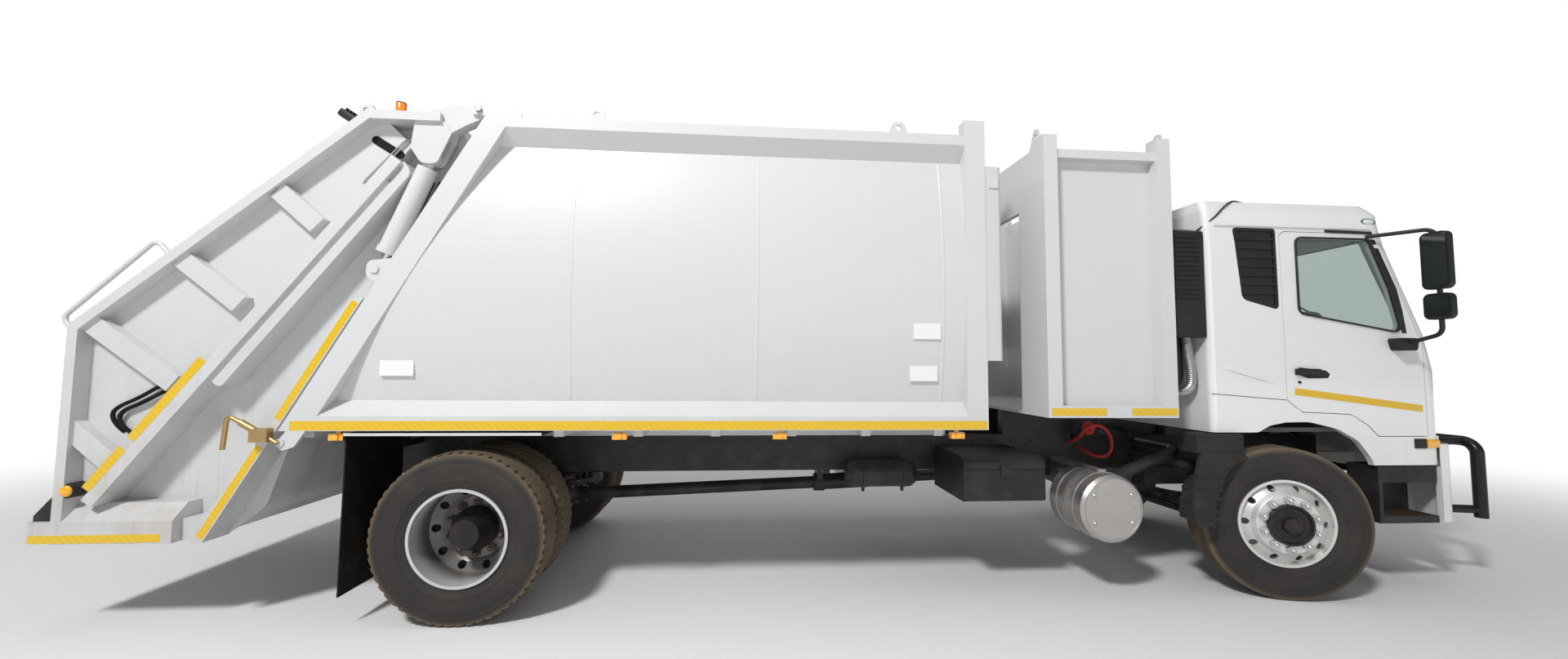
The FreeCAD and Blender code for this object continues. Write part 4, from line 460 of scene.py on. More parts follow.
def stitched(work, rows, loop=True, ends=True):
    # quads between rows of vertices; loop closes each row, ends cap the first and last
    for a, b in zip(rows, rows[1:]):
        for i in range(len(a) if loop else len(a) - 1):
            j = (i + 1) % len(a)
            work.faces.new([a[i], a[j], b[j], b[i]])
    if ends:
        work.faces.new(rows[0][::-1])
        work.faces.new(rows[-1])


def addSpun(work, profile, start, way, count=32):
    # closed ring from points (radius, distance along way)
    way = way.normalized()
    side = way.orthogonal().normalized()
    other = way.cross(side)
    rings = []
    for i in range(count):
        angle = 2 * math.pi * i / count
        out = side * math.cos(angle) + other * math.sin(angle)
        rings.append([work.verts.new(start + way * along + out * radius) for radius, along in profile])
    stitched(work, rings + rings[:1], False, False)


def drawnPiece(name, build, body, finish, angle=35):
    # without an angle it stays flat shaded
    mesh = meshFrom(name, build)
    newPiece(name, smooth(mesh, angle) if angle else mesh, body, finish)


def spunPiece(name, profile, start, way, body, finish, count=32):
    drawnPiece(name, lambda work: addSpun(work, profile, start, way, count), body, finish)


def addStrip(work, path, width, thick, outwards, acrossTo):
    # flat strip along a path, its width towards acrossTo, proud along outwards
    rows = []
    for p in path:
        a = p + acrossTo * (width / 2)
        b = p - acrossTo * (width / 2)
        rows.append([work.verts.new(v) for v in (a, a + outwards * thick, b + outwards * thick, b)])
    stitched(work, rows)


def joined(name, meshes):
    work = bmesh.new()
    for mesh in meshes:
        work.from_mesh(mesh)
    out = bpy.data.meshes.new(name)
    work.to_mesh(out)
    work.free()
    return out


# Geometry Nodes helpers

class Growth:
    # one Geometry Nodes tree with named inputs
    def __init__(self, name):
        self.group = bpy.data.node_groups.new(name, "GeometryNodeTree")
        self.group.interface.new_socket("Geometry", in_out="INPUT", socket_type="NodeSocketGeometry")
        self.group.interface.new_socket("Geometry", in_out="OUTPUT", socket_type="NodeSocketGeometry")
        self.start = self.group.nodes.new("NodeGroupInput")
        self.end = self.group.nodes.new("NodeGroupOutput")

    def asks(self, name, kind="NodeSocketFloat"):
        self.group.interface.new_socket(name, in_out="INPUT", socket_type=kind)
        return self.start.outputs[name]

    def node(self, kind, inputs=None, **settings):
        # the node's first output
        kind = kind if "Node" in kind else "GeometryNode" + kind
        return wired(self.group, kind, inputs, settings).outputs[0]

    def closes(self, geometry):
        whole = self.node("RealizeInstances", {"Geometry": geometry})
        finish = self.asks("Finish", "NodeSocketMaterial")
        done = self.node("SetMaterial", {"Geometry": whole, "Material": finish})
        self.group.links.new(done, self.end.inputs[0])
        return self

    def grow(self, name, values, finish, base=None):
        # plain mesh of the tree's result
        holder = held(name + "Seed", base or bpy.data.meshes.new(name + "Seed"))
        modifier = holder.modifiers.new("grow", "NODES")
        modifier.node_group = self.group
        for item in self.group.interface.items_tree:
            if item.in_out == "INPUT" and item.name in values:
                modifier[item.identifier] = values[item.name]
            if item.in_out == "INPUT" and item.name == "Finish":
                modifier[item.identifier] = look[finish]
        mesh = evaluated(holder)
        mesh.name = name
        holder.modifiers.remove(modifier)
        bpy.data.objects.remove(holder)
        return mesh


nutShape = {"capScale": (0.84, 0.84, 0.8), "capLift": 0.012, "washerRadius": 0.0265, "washerHeight": 0.008}


def nutRingTree():
    # nuts with washers on a circle, heads along +Z
    g = Growth("nutRing")
    count = g.asks("Count", "NodeSocketInt")
    circle, size, height = (g.asks(each) for each in ("Circle radius", "Nut radius", "Nut height"))
    ring = g.node("MeshCircle", {"Vertices": count, "Radius": circle})
    nut = g.node("MeshCylinder", {"Vertices": 6, "Radius": size, "Depth": height})
    cap = g.node("MeshUVSphere", {"Segments": 14, "Rings": 8, "Radius": size})
    move = {"Scale": nutShape["capScale"], "Translation": (0, 0, nutShape["capLift"])}
    lifted = g.node("Transform", {"Geometry": cap, **move})
    flat = {"Vertices": 20, "Radius": nutShape["washerRadius"], "Depth": nutShape["washerHeight"]}
    washer = g.node("MeshCylinder", flat)
    parts = [nut, lifted, washer]
    head = g.node("JoinGeometry", {"Geometry": parts})
    copied = {"Points": ring, "Instance": head}
    return g.closes(g.node("InstanceOnPoints", copied))


def rowTree(name, shape):
    # copies between two points; shape gives what is copied
    g = Growth(name)
    count = g.asks("Count", "NodeSocketInt")
    start, end, turn = (g.asks(each, "NodeSocketVector") for each in ("Start", "End", "Turn"))
    ends = {"Count": count, "Start Location": start, "Offset": end}
    line = g.node("MeshLine", ends, mode="END_POINTS")
    copied = {"Points": line, "Instance": shape(g), "Rotation": turn}
    return g.closes(g.node("InstanceOnPoints", copied))


def boltHead(g):
    size = {"Radius": g.asks("Head radius"), "Depth": g.asks("Head height")}
    return g.node("MeshCylinder", {"Vertices": 6, **size})


def barShape(g):
    return g.node("MeshCube", {"Size": g.asks("Bar size", "NodeSocketVector")})


def treadTree():
    # blocks round a circle in rows, axis along Z
    g = Growth("tread")
    count = g.asks("Count", "NodeSocketInt")
    radius = g.asks("Radius")
    size = g.asks("Block size", "NodeSocketVector")
    slant = g.asks("Slant", "NodeSocketVector")
    phase = g.asks("Phase")
    ring = g.node("MeshCircle", {"Vertices": count, "Radius": radius})
    block = g.node("MeshCube", {"Size": size})
    turned = g.node("Transform", {"Geometry": block, "Rotation": slant})
    spot = g.node("InputPosition")
    aim = g.node("FunctionNodeAlignRotationToVector", {"Vector": spot}, axis="X")
    copied = {"Points": ring, "Instance": turned, "Rotation": aim}
    spread = g.node("InstanceOnPoints", copied)
    turn = g.node("ShaderNodeCombineXYZ", {"Z": phase})
    whole = g.node("Transform", {"Geometry": spread, "Rotation": turn})
    return g.closes(whole)


def sweptTree(name, section):
    # a section drawn along a mesh path, the path's corners filleted
    g = Growth(name)
    fillet = g.asks("Corner radius")
    curve = g.node("MeshToCurve", {"Mesh": g.start.outputs["Geometry"]})
    rounding = {"Curve": curve, "Radius": fillet, "Limit Radius": True, "Count": 6}
    soft = g.node("FilletCurve", rounding, mode="POLY")
    drawn = {"Curve": soft, "Profile Curve": section(g), "Fill Caps": True}
    return g.closes(g.node("CurveToMesh", drawn))


def roundSection(g):
    return g.node("CurvePrimitiveCircle", {"Resolution": 10, "Radius": g.asks("Tube radius")})


def flatSection(g):
    size = {"Width": g.asks("Band width"), "Height": g.asks("Band depth")}
    return g.node("CurvePrimitiveQuadrilateral", size, mode="RECTANGLE")


nutRing = nutRingTree()
boltRow = rowTree("boltRow", boltHead)
barRow = rowTree("barRow", barShape)
tread = treadTree()
tube = sweptTree("tube", roundSection)
band = sweptTree("band", flatSection)


def pathMesh(points, closed=False):
    mesh = bpy.data.meshes.new("path")
    edges = [(i, i + 1) for i in range(len(points) - 1)]
    if closed:
        edges.append((len(points) - 1, 0))
    mesh.from_pydata([tuple(p) for p in points], edges, [])
    return mesh


def tubePiece(name, points, radius, body, finish, corner=0.03, closed=False):
    mesh = tube.grow(name, {"Tube radius": radius, "Corner radius": corner}, finish, pathMesh(points, closed))
    newPiece(name, smooth(mesh), body, None)


def boltPiece(name, rows, body, finish):
    meshes = []
    for start, end, count, turn, size in rows:
        values = {"Count": count, "Start": start, "End": end, "Turn": turn}
        meshes.append(boltRow.grow(name, {**values, "Head radius": size, "Head height": size * 1.1}, finish))
    newPiece(name, joined(name, meshes), body, finish)


# Pieces made alike on both sides

def atSide(sign, points):
    # places of points given for the left side
    return [place(x, sign * y, z) for x, y, z in points]


def sidePieces(name, build, body, finish, angle=35):
    # build(work, sign) draws each of them
    for side, sign in sides.items():
        drawnPiece(name + "_" + side, lambda work: build(work, sign), body.format(side), finish, angle)


def sideBoxes(name, boxes, bevel, body, finish, angle=35):
    # boxes as x, y and z spans, y being the distance from the truck's middle
    def build(work, sign):
        for (x0, x1), ySpan, (z0, z1) in boxes:
            y0, y1 = sorted(sign * y for y in ySpan)
            addBox(work, place(x0, y0, z0), place(x1, y1, z1), bevel)
    sidePieces(name, build, body, finish, angle)


def addSideStrip(work, sign, points, y, width, proud, level=False):
    # along (x, z) points at the distance y from the truck's middle; level cuts its ends upright
    path = [place(x, sign * y, z) for x, z in points]
    outwards = Vector((0, sign, 0))
    acrossTo = Vector((0, 0, 1)) if level else (path[-1] - path[0]).normalized().cross(outwards)
    addStrip(work, path, width, proud, outwards, acrossTo)


def twinStrips(name, points, y, width, proud, finish):
    # one piece with a strip on each side
    def build(work):
        for sign in (-1, 1):
            addSideStrip(work, sign, points, y, width, proud, True)
    drawnPiece(name, build, "truck", finish, None)


# Wheels

wheelLook = {
    "profilePoints": 96,
    "treadDepth": 0.013,
    "shoulderBlocks": 54,
    "blockLength": 0.036,
    # rows of blocks: distance from the tyre's middle, width, shift, drop and twist
    "blockRows": ((0.099, 0.046, 0.0, 0.004, 0.09), (0.0615, 0.022, 0.5, 0, 0)),
    "blockSlant": 0.16,
    "nutTurn": 18,
}
wheelNuts = {"Count": 10, "Circle radius": 0.1675, "Nut radius": 0.0212, "Nut height": 0.030}
sideWall = [
    (0.2925, -0.108), (0.3, -0.112), (0.318, -0.116), (0.335, -0.126), (0.352, -0.133), (0.354, -0.1365),
    (0.362, -0.1365), (0.364, -0.135), (0.395, -0.1395), (0.42, -0.1398), (0.448, -0.1385), (0.452, -0.1365),
    (0.468, -0.135), (0.472, -0.1365), (0.484, -0.133), (0.497, -0.128),
]
frontHub = [
    (0.0, 0.0500), (0.022, 0.0500), (0.025, 0.0488), (0.0370, 0.0488), (0.0528, 0.0412), (0.0605, 0.0130),
    (0.078, 0.0130), (0.081, 0.0165), (0.090, 0.0165), (0.093, 0.0130), (0.1155, 0.0130), (0.1255, 0.0285),
    (0.1385, 0.0285), (0.1395, 0.0005),
]
rearHub = [
    (0.0, 0.004), (0.048, 0.004), (0.053, 0.0014), (0.0875, 0.0014), (0.0995, -0.044), (0.1395, -0.124),
    (0.1395, -0.180),
]


def steered(sign):
    pivot = place(truck["wheelbase"], sign * truck["kingpinSide"], 0)
    return Matrix.Translation(pivot) @ Matrix.Rotation(truck["steerAtRest"], 4, "Z") @ Matrix.Translation(-pivot)


def tyreMesh(name, x, y, blocks=True):
    # carcass with grooves, and its shoulder blocks or plain rib, about a line along Y
    r = truck["tyreRadius"]
    depth = wheelLook["treadDepth"]
    count = wheelLook["shoulderBlocks"]
    base = r - depth
    if blocks:
        shoulder = [(base, -0.122), (base + 0.001, -0.098), (base + 0.001, -0.078), (r - 0.001, -0.0765)]
    else:
        shoulder = [
            (base, -0.1235), (r - 0.004, -0.116), (r - 0.001, -0.106), (r - 0.001, -0.084), (base, -0.0825),
            (base, -0.074), (r, -0.0725),
        ]
    grooves = [(r, -0.048), (base, -0.0465), (base, -0.037), (r, -0.0355), (r, -0.006), (base, -0.0045)]
    half = sideWall + shoulder + grooves
    profile = half + [(a, -b) for a, b in half[::-1]] + half[:1]
    centre = place(x, y, r)
    points = wheelLook["profilePoints"]
    meshes = [meshFrom(name, lambda work: addSpun(work, profile, centre, Vector((0, 1, 0)), points))]
    for hand in (-1, 1) if blocks else ():
        for lateral, wide, shift, drop, twist in wheelLook["blockRows"]:
            values = {
                "Count": count,
                "Radius": r - depth / 2 - 0.0008 - drop,
                "Block size": (depth, wheelLook["blockLength"], wide),
                "Slant": (wheelLook["blockSlant"] * hand, twist * hand, 0),
                "Phase": shift * 2 * math.pi / count,
            }
            row = tread.grow(name + "Blocks", values, "tyre")
            middle = Matrix.Translation(centre + Vector((0, hand * lateral, 0)))
            row.transform(middle @ Matrix.Rotation(math.pi / 2, 4, "X"))
            meshes.append(row)
    return joined(name, meshes)


def marked(mesh, x):
    # 0 on the side wall, 1 on the tread
    worn = mesh.attributes.new("worn", "FLOAT", "POINT")
    for vertex, value in zip(mesh.vertices, worn.data):
        away = math.hypot(vertex.co.x - x - axleX, vertex.co.z - truck["tyreRadius"])
        value.value = min(1.0, max(0.0, (away - 0.492) / 0.014))
    return mesh


def wheelTrim(end, side, x, hub, capOut, nutsOut, move, body, finish):
    # nuts and hub cap, capOut and nutsOut being their distances from the truck's middle
    sign = sides[side]
    nuts = nutRing.grow(end + "Nuts", wheelNuts, finish)
    upright = Matrix.Rotation(math.radians(90 * -sign), 4, "X")
    turned = upright @ Matrix.Rotation(math.radians(wheelLook["nutTurn"]), 4, "Z")
    nuts.transform(move @ Matrix.Translation(place(x, sign * nutsOut, truck["tyreRadius"])) @ turned)
    newPiece(end + "Nuts_" + side, smooth(nuts), body, None)
    start = place(x, sign * capOut, truck["tyreRadius"])
    cap = meshFrom(end + "Hub", lambda work: addSpun(work, hub, start, Vector((0, sign, 0)), 40))
    cap.transform(move)
    newPiece(end + "HubCap_" + side, smooth(cap), body, "hubBlack")


for side, sign in sides.items():
    ahead = truck["wheelbase"]
    turn = steered(sign)
    front = marked(tyreMesh("frontTyre", ahead, sign * 1.07, False), ahead)
    front.transform(turn)
    piece = newPiece("frontTyre_" + side, smooth(front, 30), "front_wheel_" + side, "tyre")
    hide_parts("front_tyre_" + side)
    rear = marked(joined("rearTyres", [tyreMesh("rearTyre", 0, sign * y) for y in (1.095, 0.765)]), 0)
    piece = newPiece("rearTyres_" + side, smooth(rear, 30), "rear_wheels_" + side, "tyre")
    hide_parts("rear_tyres_" + side)
    wheelTrim("front", side, ahead, frontHub, 1.219, 1.234, turn, "front_wheel_" + side, "nutBright")
    wheelTrim("rear", side, 0, rearHub, 1.125, 0.958, Matrix(), "rear_wheels_" + side, "nutDark")
print("wheels done")


# Reflective tape

tapeLook = {"proud": 0.0012, "tailInset": 0.045}
halfWidth = truck["halfWidth"]


def rearLine(z):
    # where the load body's slanted rear edge is at height z
    return -1.0 + (z - 1.28) * 0.5608


def tailEdge(z):
    return rearLine(z) - tapeLook["tailInset"], z


# piece, body, distance from the middle, and runs of a width and (x, z) points
tapes = (
    ("bodyTape", "truck", halfWidth, [(0.056, (-0.99, 1.212), (3.35, 1.212))]),
    ("binTape", "truck", halfWidth, [(0.05, (3.80, 1.30), (4.19, 1.30)), (0.05, (4.37, 1.30), (4.70, 1.30))]),
    ("tailTape", "tailgate", halfWidth, [
        (0.042, tailEdge(1.97), tailEdge(1.25)),
        (0.042, tailEdge(1.09), tailEdge(0.56)),
        (0.05, (-1.50, 1.608), (-1.86, 1.135)),
        (0.05, (-1.90, 1.082), (-2.08, 0.846)),
        (0.046, (-2.36, 0.562), (-1.66, 0.562)),
    ]),
    ("doorTape", "door_{}", truck["cabHalfWidth"], [(0.05, (5.69, 1.44), (6.70, 1.318))]),
)
for name, body, y, runs in tapes:
    def buildTape(work, sign):
        for width, *points in runs:
            addSideStrip(work, sign, points, y, width, tapeLook["proud"])
    sidePieces(name, buildTape, body, "tape", None)
print("tape done")


# Load body

bodyLook = {
    "seams": (0.625, 1.815, 3.065),
    "seamSpan": (1.37, 3.0),
    "seamSection": ((-0.012, -0.001), (-0.006, 0.0022), (0.006, 0.0022), (0.012, -0.001)),
    "plates": ((-0.52, -0.32, 1.515, 1.61), (2.86, 3.045, 1.78, 1.885), (2.84, 3.03, 1.50, 1.60)),
    "plateProud": 0.003,
    "plateDepth": 0.012,
    "seal": ((-0.075, 2.97), (rearLine(1.20) - 0.006, 1.20)),
    "sealWidth": 0.05,
    "sealThick": 0.009,
}


def bulge(z):
    # distance of the side sheet from the middle at height z
    middle, half = 2.18, 0.825
    return 1.135 + 0.085 * max(0.0, 1 - ((z - middle) / half) ** 2)


def buildSeams(work, sign):
    low, high = bodyLook["seamSpan"]
    heights = [low + i * (high - low) / 24 for i in range(25)]
    for x in bodyLook["seams"]:
        rows = [
            [work.verts.new(place(x + dx, sign * (bulge(z) + dy), z)) for dx, dy in bodyLook["seamSection"]]
            for z in heights
        ]
        stitched(work, rows, False, False)


def buildSeal(work, sign):
    path = [place(x, sign * 1.10, z) for x, z in bodyLook["seal"]]
    acrossTo = Vector((0, 1, 0))
    outwards = (path[1] - path[0]).normalized().cross(acrossTo)
    addStrip(work, path, bodyLook["sealWidth"], bodyLook["sealThick"], outwards, acrossTo)


plates = []
for x0, x1, z0, z1 in bodyLook["plates"]:
    y = bulge(z1) + bodyLook["plateProud"]
    plates.append(((x0, x1), (y - bodyLook["plateDepth"], y), (z0, z1)))
sidePieces("bodySeams", buildSeams, "truck", "bodyGrey", None)
sideBoxes("signPlates", plates, 0.001, "truck", "plateWhite", None)
sidePieces("tailSeal", buildSeal, "truck", "rubberBlack", None)


# Bolts: single heads, and rows along the rails and at the springs

boltLook = {
    "railSpan": (-0.85, 4.9),
    "railCount": 36,
    "railHead": 0.011,
    "springTops": {0.0: 0.712, truck["wheelbase"]: 0.582},
    "springHead": 0.014,
}
outwardTurn = (math.pi / 2, 0, 0)


def singleBolt(name, spot, size, body, finish):
    x, y, z = spot
    for side, sign in sides.items():
        row = (*atSide(sign, [(x, y, z), (x + 0.001, y, z)]), 1, outwardTurn, size)
        boltPiece(name + "_" + side, [row], body.format(side), finish)


def frameBolts():
    rows = []
    for y in (-0.432, 0.432):
        for z in (0.83, 1.0):
            start, end = (place(x, y, z) for x in boltLook["railSpan"])
            rows.append((start, end, boltLook["railCount"], outwardTurn, boltLook["railHead"]))
    boltPiece("railBolts", rows, "truck", "frameBlack")
    rows = []
    for x, top in boltLook["springTops"].items():
        for sign in (-1, 1):
            for dx in (-0.055, 0.055):
                start, end = (place(x + dx, sign * y, top) for y in (0.385, 0.475))
                rows.append((start, end, 2, (0, 0, 0), boltLook["springHead"]))
    boltPiece("springBolts", rows, "truck", "nutSteel")


singleBolt("pinCaps", (0.02, 1.223, 3.22), 0.022, "truck", "nutSteel")
frameBolts()
print("body done")


# Silencer: rings and rivets

silencerLook = {
    "middle": (4.272, -1.1501, 0.631),
    "rim": [(0.198, 0.0), (0.199, 0.004), (0.206, 0.004), (0.207, 0.0)],
    "rivet": [(0.0, 0.009), (0.009, 0.008), (0.013, 0.004), (0.016, 0.0)],
    "rivetCircle": 0.165,
    "rivetTurns": (35, 145, 215, 325),
    "bandRadii": (0.2302, 0.2352),
    "bandStarts": (0.11, 0.31),
    "bandWidth": 0.03,
}


def silencerTrim(work):
    centre = place(*silencerLook["middle"])
    way = Vector((0, -1, 0))
    addSpun(work, silencerLook["rim"], centre, way, 48)
    for angle in map(math.radians, silencerLook["rivetTurns"]):
        spot = centre + Vector((math.cos(angle), 0, math.sin(angle))) * silencerLook["rivetCircle"]
        addSpun(work, silencerLook["rivet"], spot, way, 14)
    inner, outer = silencerLook["bandRadii"]
    for along in silencerLook["bandStarts"]:
        end = -along - silencerLook["bandWidth"]
        addSpun(work, [(inner, -along), (outer, -along), (outer, end), (inner, end)], centre, way, 64)


drawnPiece("silencerTrim", silencerTrim, "truck", "silencerSteel")


# Cab

def cabSide(z):
    # half width of the cab's side at height z
    if z <= 2.52:
        return 1.12 - 0.004 * max(0, z - 1.86) / 0.66
    return 1.116 - 0.008 * (z - 2.52) / 0.125 if z <= 2.645 else 1.108 - 0.023 * (z - 2.645) / 0.115


cabLook = {
    "sealWidth": 0.022,
    "sealDepth": 0.010,
    "window": [(5.75, 2.565), (5.75, 2.005), (6.57, 1.87), (6.49, 2.20), (6.345, 2.565)],
    # x, z and width down the pillar
    "pillar": [
        (6.345, 2.565, 0.052), (6.405, 2.40, 0.056), (6.49, 2.20, 0.058), (6.535, 2.03, 0.050), (6.57, 1.87, 0.036),
    ],
    "pillarProud": 0.0016,
    "handleCup": [
        (5.70, 1.585), (5.735, 1.612), (5.94, 1.592), (5.972, 1.566), (5.955, 1.536), (5.80, 1.534), (5.715, 1.560),
    ],
    "handleSpan": (1.1215, 1.1195),
    "creaseStart": (5.146, 1.602),
    "creaseRun": (0.40, -0.114),
    "creaseProud": 0.009,
    "lampSpot": (6.375, 2.702),
}
lampSpan, mirrorSpans = (0.815, 0.925), ((2.174, 2.546), (1.964, 2.118))
# piece, its boxes, bevel, body, finish, and None for flat shading
cabBoxes = (
    ("handlePull", [((5.697, 5.883), (1.1195, 1.1445), (1.557, 1.603))], 0.006, "door_{}", "plasticBlack"),
    ("cornerLamp", [((6.708, 6.806), (1.085, 1.134), (1.036, 1.096))], 0.008, "truck", "lensAmber"),
    ("cornerHousing", [((6.615, 6.707), (1.098, 1.130), (1.030, 1.100))], 0.006, "truck", "plasticBlack"),
    ("headLens", [((6.998, 7.008), (0.575, 0.745), lampSpan)], 0.004, "truck", "lensClear"),
    ("turnLens", [((6.998, 7.008), (0.755, 0.83), lampSpan)], 0.004, "truck", "lensAmber"),
    ("mirrorGlass", [((6.4995, 6.5045), (1.324, 1.456), z) for z in mirrorSpans], 0.001, "door_{}", "mirror", None),
)
# piece, its (x, z) points, distance from the middle, width, depth and finish
cabStrips = (
    ("panelGap", [(5.052, 1.420), (5.622, 1.378)], 1.1198, 0.005, 0.0006, "rubberBlack"),
    ("doorGutter", [(6.0, 2.619), (6.37, 2.613)], cabSide(2.618) - 0.001, 0.016, 0.014, "plasticBlack"),
)
# piece, its profile, stretch along the roof's edge and finish
roofLamps = (
    ("roofLamp", [(0.0, 0.020), (0.010, 0.0185), (0.018, 0.013), (0.022, 0.004), (0.022, 0.0)], 2.3, "lensClear"),
    ("roofLampRim", [(0.0, 0.0075), (0.024, 0.0075), (0.026, 0.005), (0.026, 0.0)], 2.25, "trimGrey"),
)


def buildPillar(work, sign):
    rows = []
    for x, z, wide in cabLook["pillar"]:
        section = [(0, 0), (0, cabLook["pillarProud"]), (wide, cabLook["pillarProud"]), (wide, 0)]
        rows.append([work.verts.new(place(x + dx, sign * (cabSide(z) + dy), z)) for dx, dy in section])
    stitched(work, rows)


def buildCup(work, sign):
    spans = cabLook["handleSpan"]
    stitched(work, [[work.verts.new(place(x, sign * y, z)) for x, z in cabLook["handleCup"]] for y in spans])


def buildCrease(work, sign):
    # pressed line behind the door, fading at its ends
    (x0, z0), (xRun, zRun) = cabLook["creaseStart"], cabLook["creaseRun"]
    rows = []
    for t in (i / 12 for i in range(13)):
        proud = cabLook["creaseProud"] * min(1, (1 - t) * 3) * min(1, 0.2 + t * 6)
        section = ((0.010, 0.045, 0), (0, 0.002, proud), (0, -0.001, proud), (0, -0.003, 0))
        x, z = x0 + xRun * t, z0 + zRun * t
        rows.append([work.verts.new(place(x + dx, sign * (1.1198 + d), z + dz)) for dx, dz, d in section])
    stitched(work, rows, False, False)


for side, sign in sides.items():
    path = [place(x, sign * (cabSide(z) + 0.002), z) for x, z in cabLook["window"]]
    values = {"Band width": cabLook["sealWidth"], "Band depth": cabLook["sealDepth"], "Corner radius": 0.05}
    seal = band.grow("windowSeal_" + side, values, "rubberBlack", pathMesh(path, True))
    newPiece("windowSeal_" + side, seal, "door_" + side, None)
    x, z = cabLook["lampSpot"]
    base = Matrix.Translation(place(x, sign * (cabSide(2.70) - 0.004), z))
    for name, profile, stretch, finish in roofLamps:
        lamp = meshFrom(name, lambda work: addSpun(work, profile, Vector(), Vector((0, sign, 0)), 28))
        lamp.transform(base @ Matrix.Diagonal((stretch, 1, 1, 1)))
        newPiece(name + "_" + side, smooth(lamp), "truck", finish)
sidePieces("pillarBand", buildPillar, "door_{}", "plasticBlack", None)
sidePieces("handleCup", buildCup, "door_{}", "plasticBlack", None)
sidePieces("sideCrease", buildCrease, "truck", "cabWhite")
singleBolt("lockBarrel", (5.728, 1.1225, 1.506), 0.011, "door_{}", "rubberBlack")
for row in cabBoxes:
    sideBoxes(*row)
for name, *strip, finish in cabStrips:
    sidePieces(name, lambda work, sign: addSideStrip(work, sign, *strip, True), "truck", finish, None)
twinStrips("dripRail", [(5.12, 2.645), (6.36, 2.645)], 1.1105, 0.014, 0.012, "cabWhite")
twinStrips("guardStrips", [(-0.688, 1.1575), (0.478, 1.1575)], 1.2150, 0.017, 0.0012, "bodyGrey")


# Seats: pads swollen by cloth simulation over a plain base

seatLook = {
    "side": 0.69,
    "voxel": 0.010,
    "pressure": 4.0,
    "frames": 20,
    "cap": 0.012,
    "channels": (-0.135, 0.135),
    "channelDepth": 0.010,
    # each pad's corners, its lean, and the axis its channels are pressed along
    "pads": {
        "cushion": ((5.345, -0.235, 1.448), (5.845, 0.235, 1.548), 0.0, 2),
        "back": ((5.342, -0.226, 1.575), (5.447, 0.226, 2.155), 0.123, 0),
        "headrest": ((5.272, -0.118, 2.188), (5.358, 0.118, 2.355), 0.08, None),
    },
}


def padStart(low, high, lean):
    # a bevelled block, its top leaning back by lean for each metre of height
    def build(work):
        addBox(work, Vector(low), Vector(high), 0.030)
        for v in work.verts:
            v.co.x -= (v.co.z - low[2]) * lean
    return meshFrom("pad", build)


def swollen(mesh):
    holder = held("padSeed", mesh)
    even = holder.modifiers.new("even", "REMESH")
    even.mode = "VOXEL"
    even.voxel_size = seatLook["voxel"]
    start = evaluated(holder)
    holder.modifiers.remove(even)
    holder.data = start
    cloth = holder.modifiers.new("swell", "CLOTH")
    cloth.settings.quality = 4
    cloth.settings.mass = 0.3
    cloth.settings.use_pressure = True
    cloth.settings.uniform_pressure_force = seatLook["pressure"]
    cloth.settings.effector_weights.gravity = 0
    cloth.point_cache.frame_start = 1
    cloth.point_cache.frame_end = seatLook["frames"]
    for moment in range(1, seatLook["frames"] + 1):
        bpy.context.scene.frame_set(moment)
    done = evaluated(holder)
    for before, after in zip(start.vertices, done.vertices):
        move = after.co - before.co
        if move.length > seatLook["cap"]:
            after.co = before.co + move.normalized() * seatLook["cap"]
    bpy.data.objects.remove(holder)
    bpy.context.scene.frame_set(1)
    return done


def channelled(mesh, axis):
    # sewn channels pressed into the face that is sat on
    mesh.update()
    for v in mesh.vertices:
        facing = v.normal[axis]
        if facing > 0.3:
            dip = max(math.exp(-((v.co.y - y) / 0.012) ** 2) for y in seatLook["channels"])
            v.co[axis] -= seatLook["channelDepth"] * dip * min(1.0, facing)


def softened(mesh):
    holder = held("padSoft", mesh)
    finer = holder.modifiers.new("finer", "SUBSURF")
    finer.levels = 1
    finer.render_levels = 1
    done = evaluated(holder)
    bpy.data.objects.remove(holder)
    return done


def makeSeats():
    pads = {}
    for name, (low, high, lean, axis) in seatLook["pads"].items():
        pad = swollen(padStart(low, high, lean))
        if axis is not None:
            channelled(pad, axis)
        pads[name] = softened(pad)
    for side, sign in sides.items():
        for name, pad in pads.items():
            mesh = pad.copy()
            mesh.transform(Matrix.Translation(place(0, sign * seatLook["side"], 0)))
            piece = newPiece("seat_{}_{}".format(name, side), smooth(mesh, 60), "truck", "seatCloth")
            if side == "right" and name == "cushion":
                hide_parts("seats")


def buildBase(work, sign):
    # plinth, pan and the headrest's posts
    y = sign * seatLook["side"]
    addBox(work, place(5.40, y - 0.19, 1.1785), place(5.80, y + 0.19, 1.40), 0.012)
    addBox(work, place(5.36, y - 0.215, 1.40), place(5.82, y + 0.215, 1.438), 0.008)
    for post in (-0.06, 0.06):
        addBox(work, place(5.285, y + post - 0.006, 2.13), place(5.297, y + post + 0.006, 2.20), 0.002)


makeSeats()
sidePieces("seatBase", buildBase, "truck", "plasticBlack")
print("seats done")


# Windscreen's seal and wipers, grille

screenLook = {
    # height and front of the raked glass
    "levels": ((1.6, 6.875), (1.86, 6.815), (2.52, 6.54), (2.645, 6.513)),
    "crown": 0.06,
    "corners": ((-0.96, 1.83), (0.96, 1.83), (0.93, 2.60), (-0.93, 2.60)),
    "sealPoints": 8,
    "wipers": {"right": (-0.62, -0.05), "left": (0.10, 0.66)},
    "armSpan": (1.80, 2.28),
    "bladeSpan": (2.0, 2.52),
}
grilleLook = {
    "slats": ((6.930, 0, 1.24), (6.930, 0, 1.56)),
    "slatSize": (0.016, 1.50, 0.022),
    "section": ((-0.004, 1.20), (0.004, 1.205), (0.004, 1.595), (-0.004, 1.60)),
}


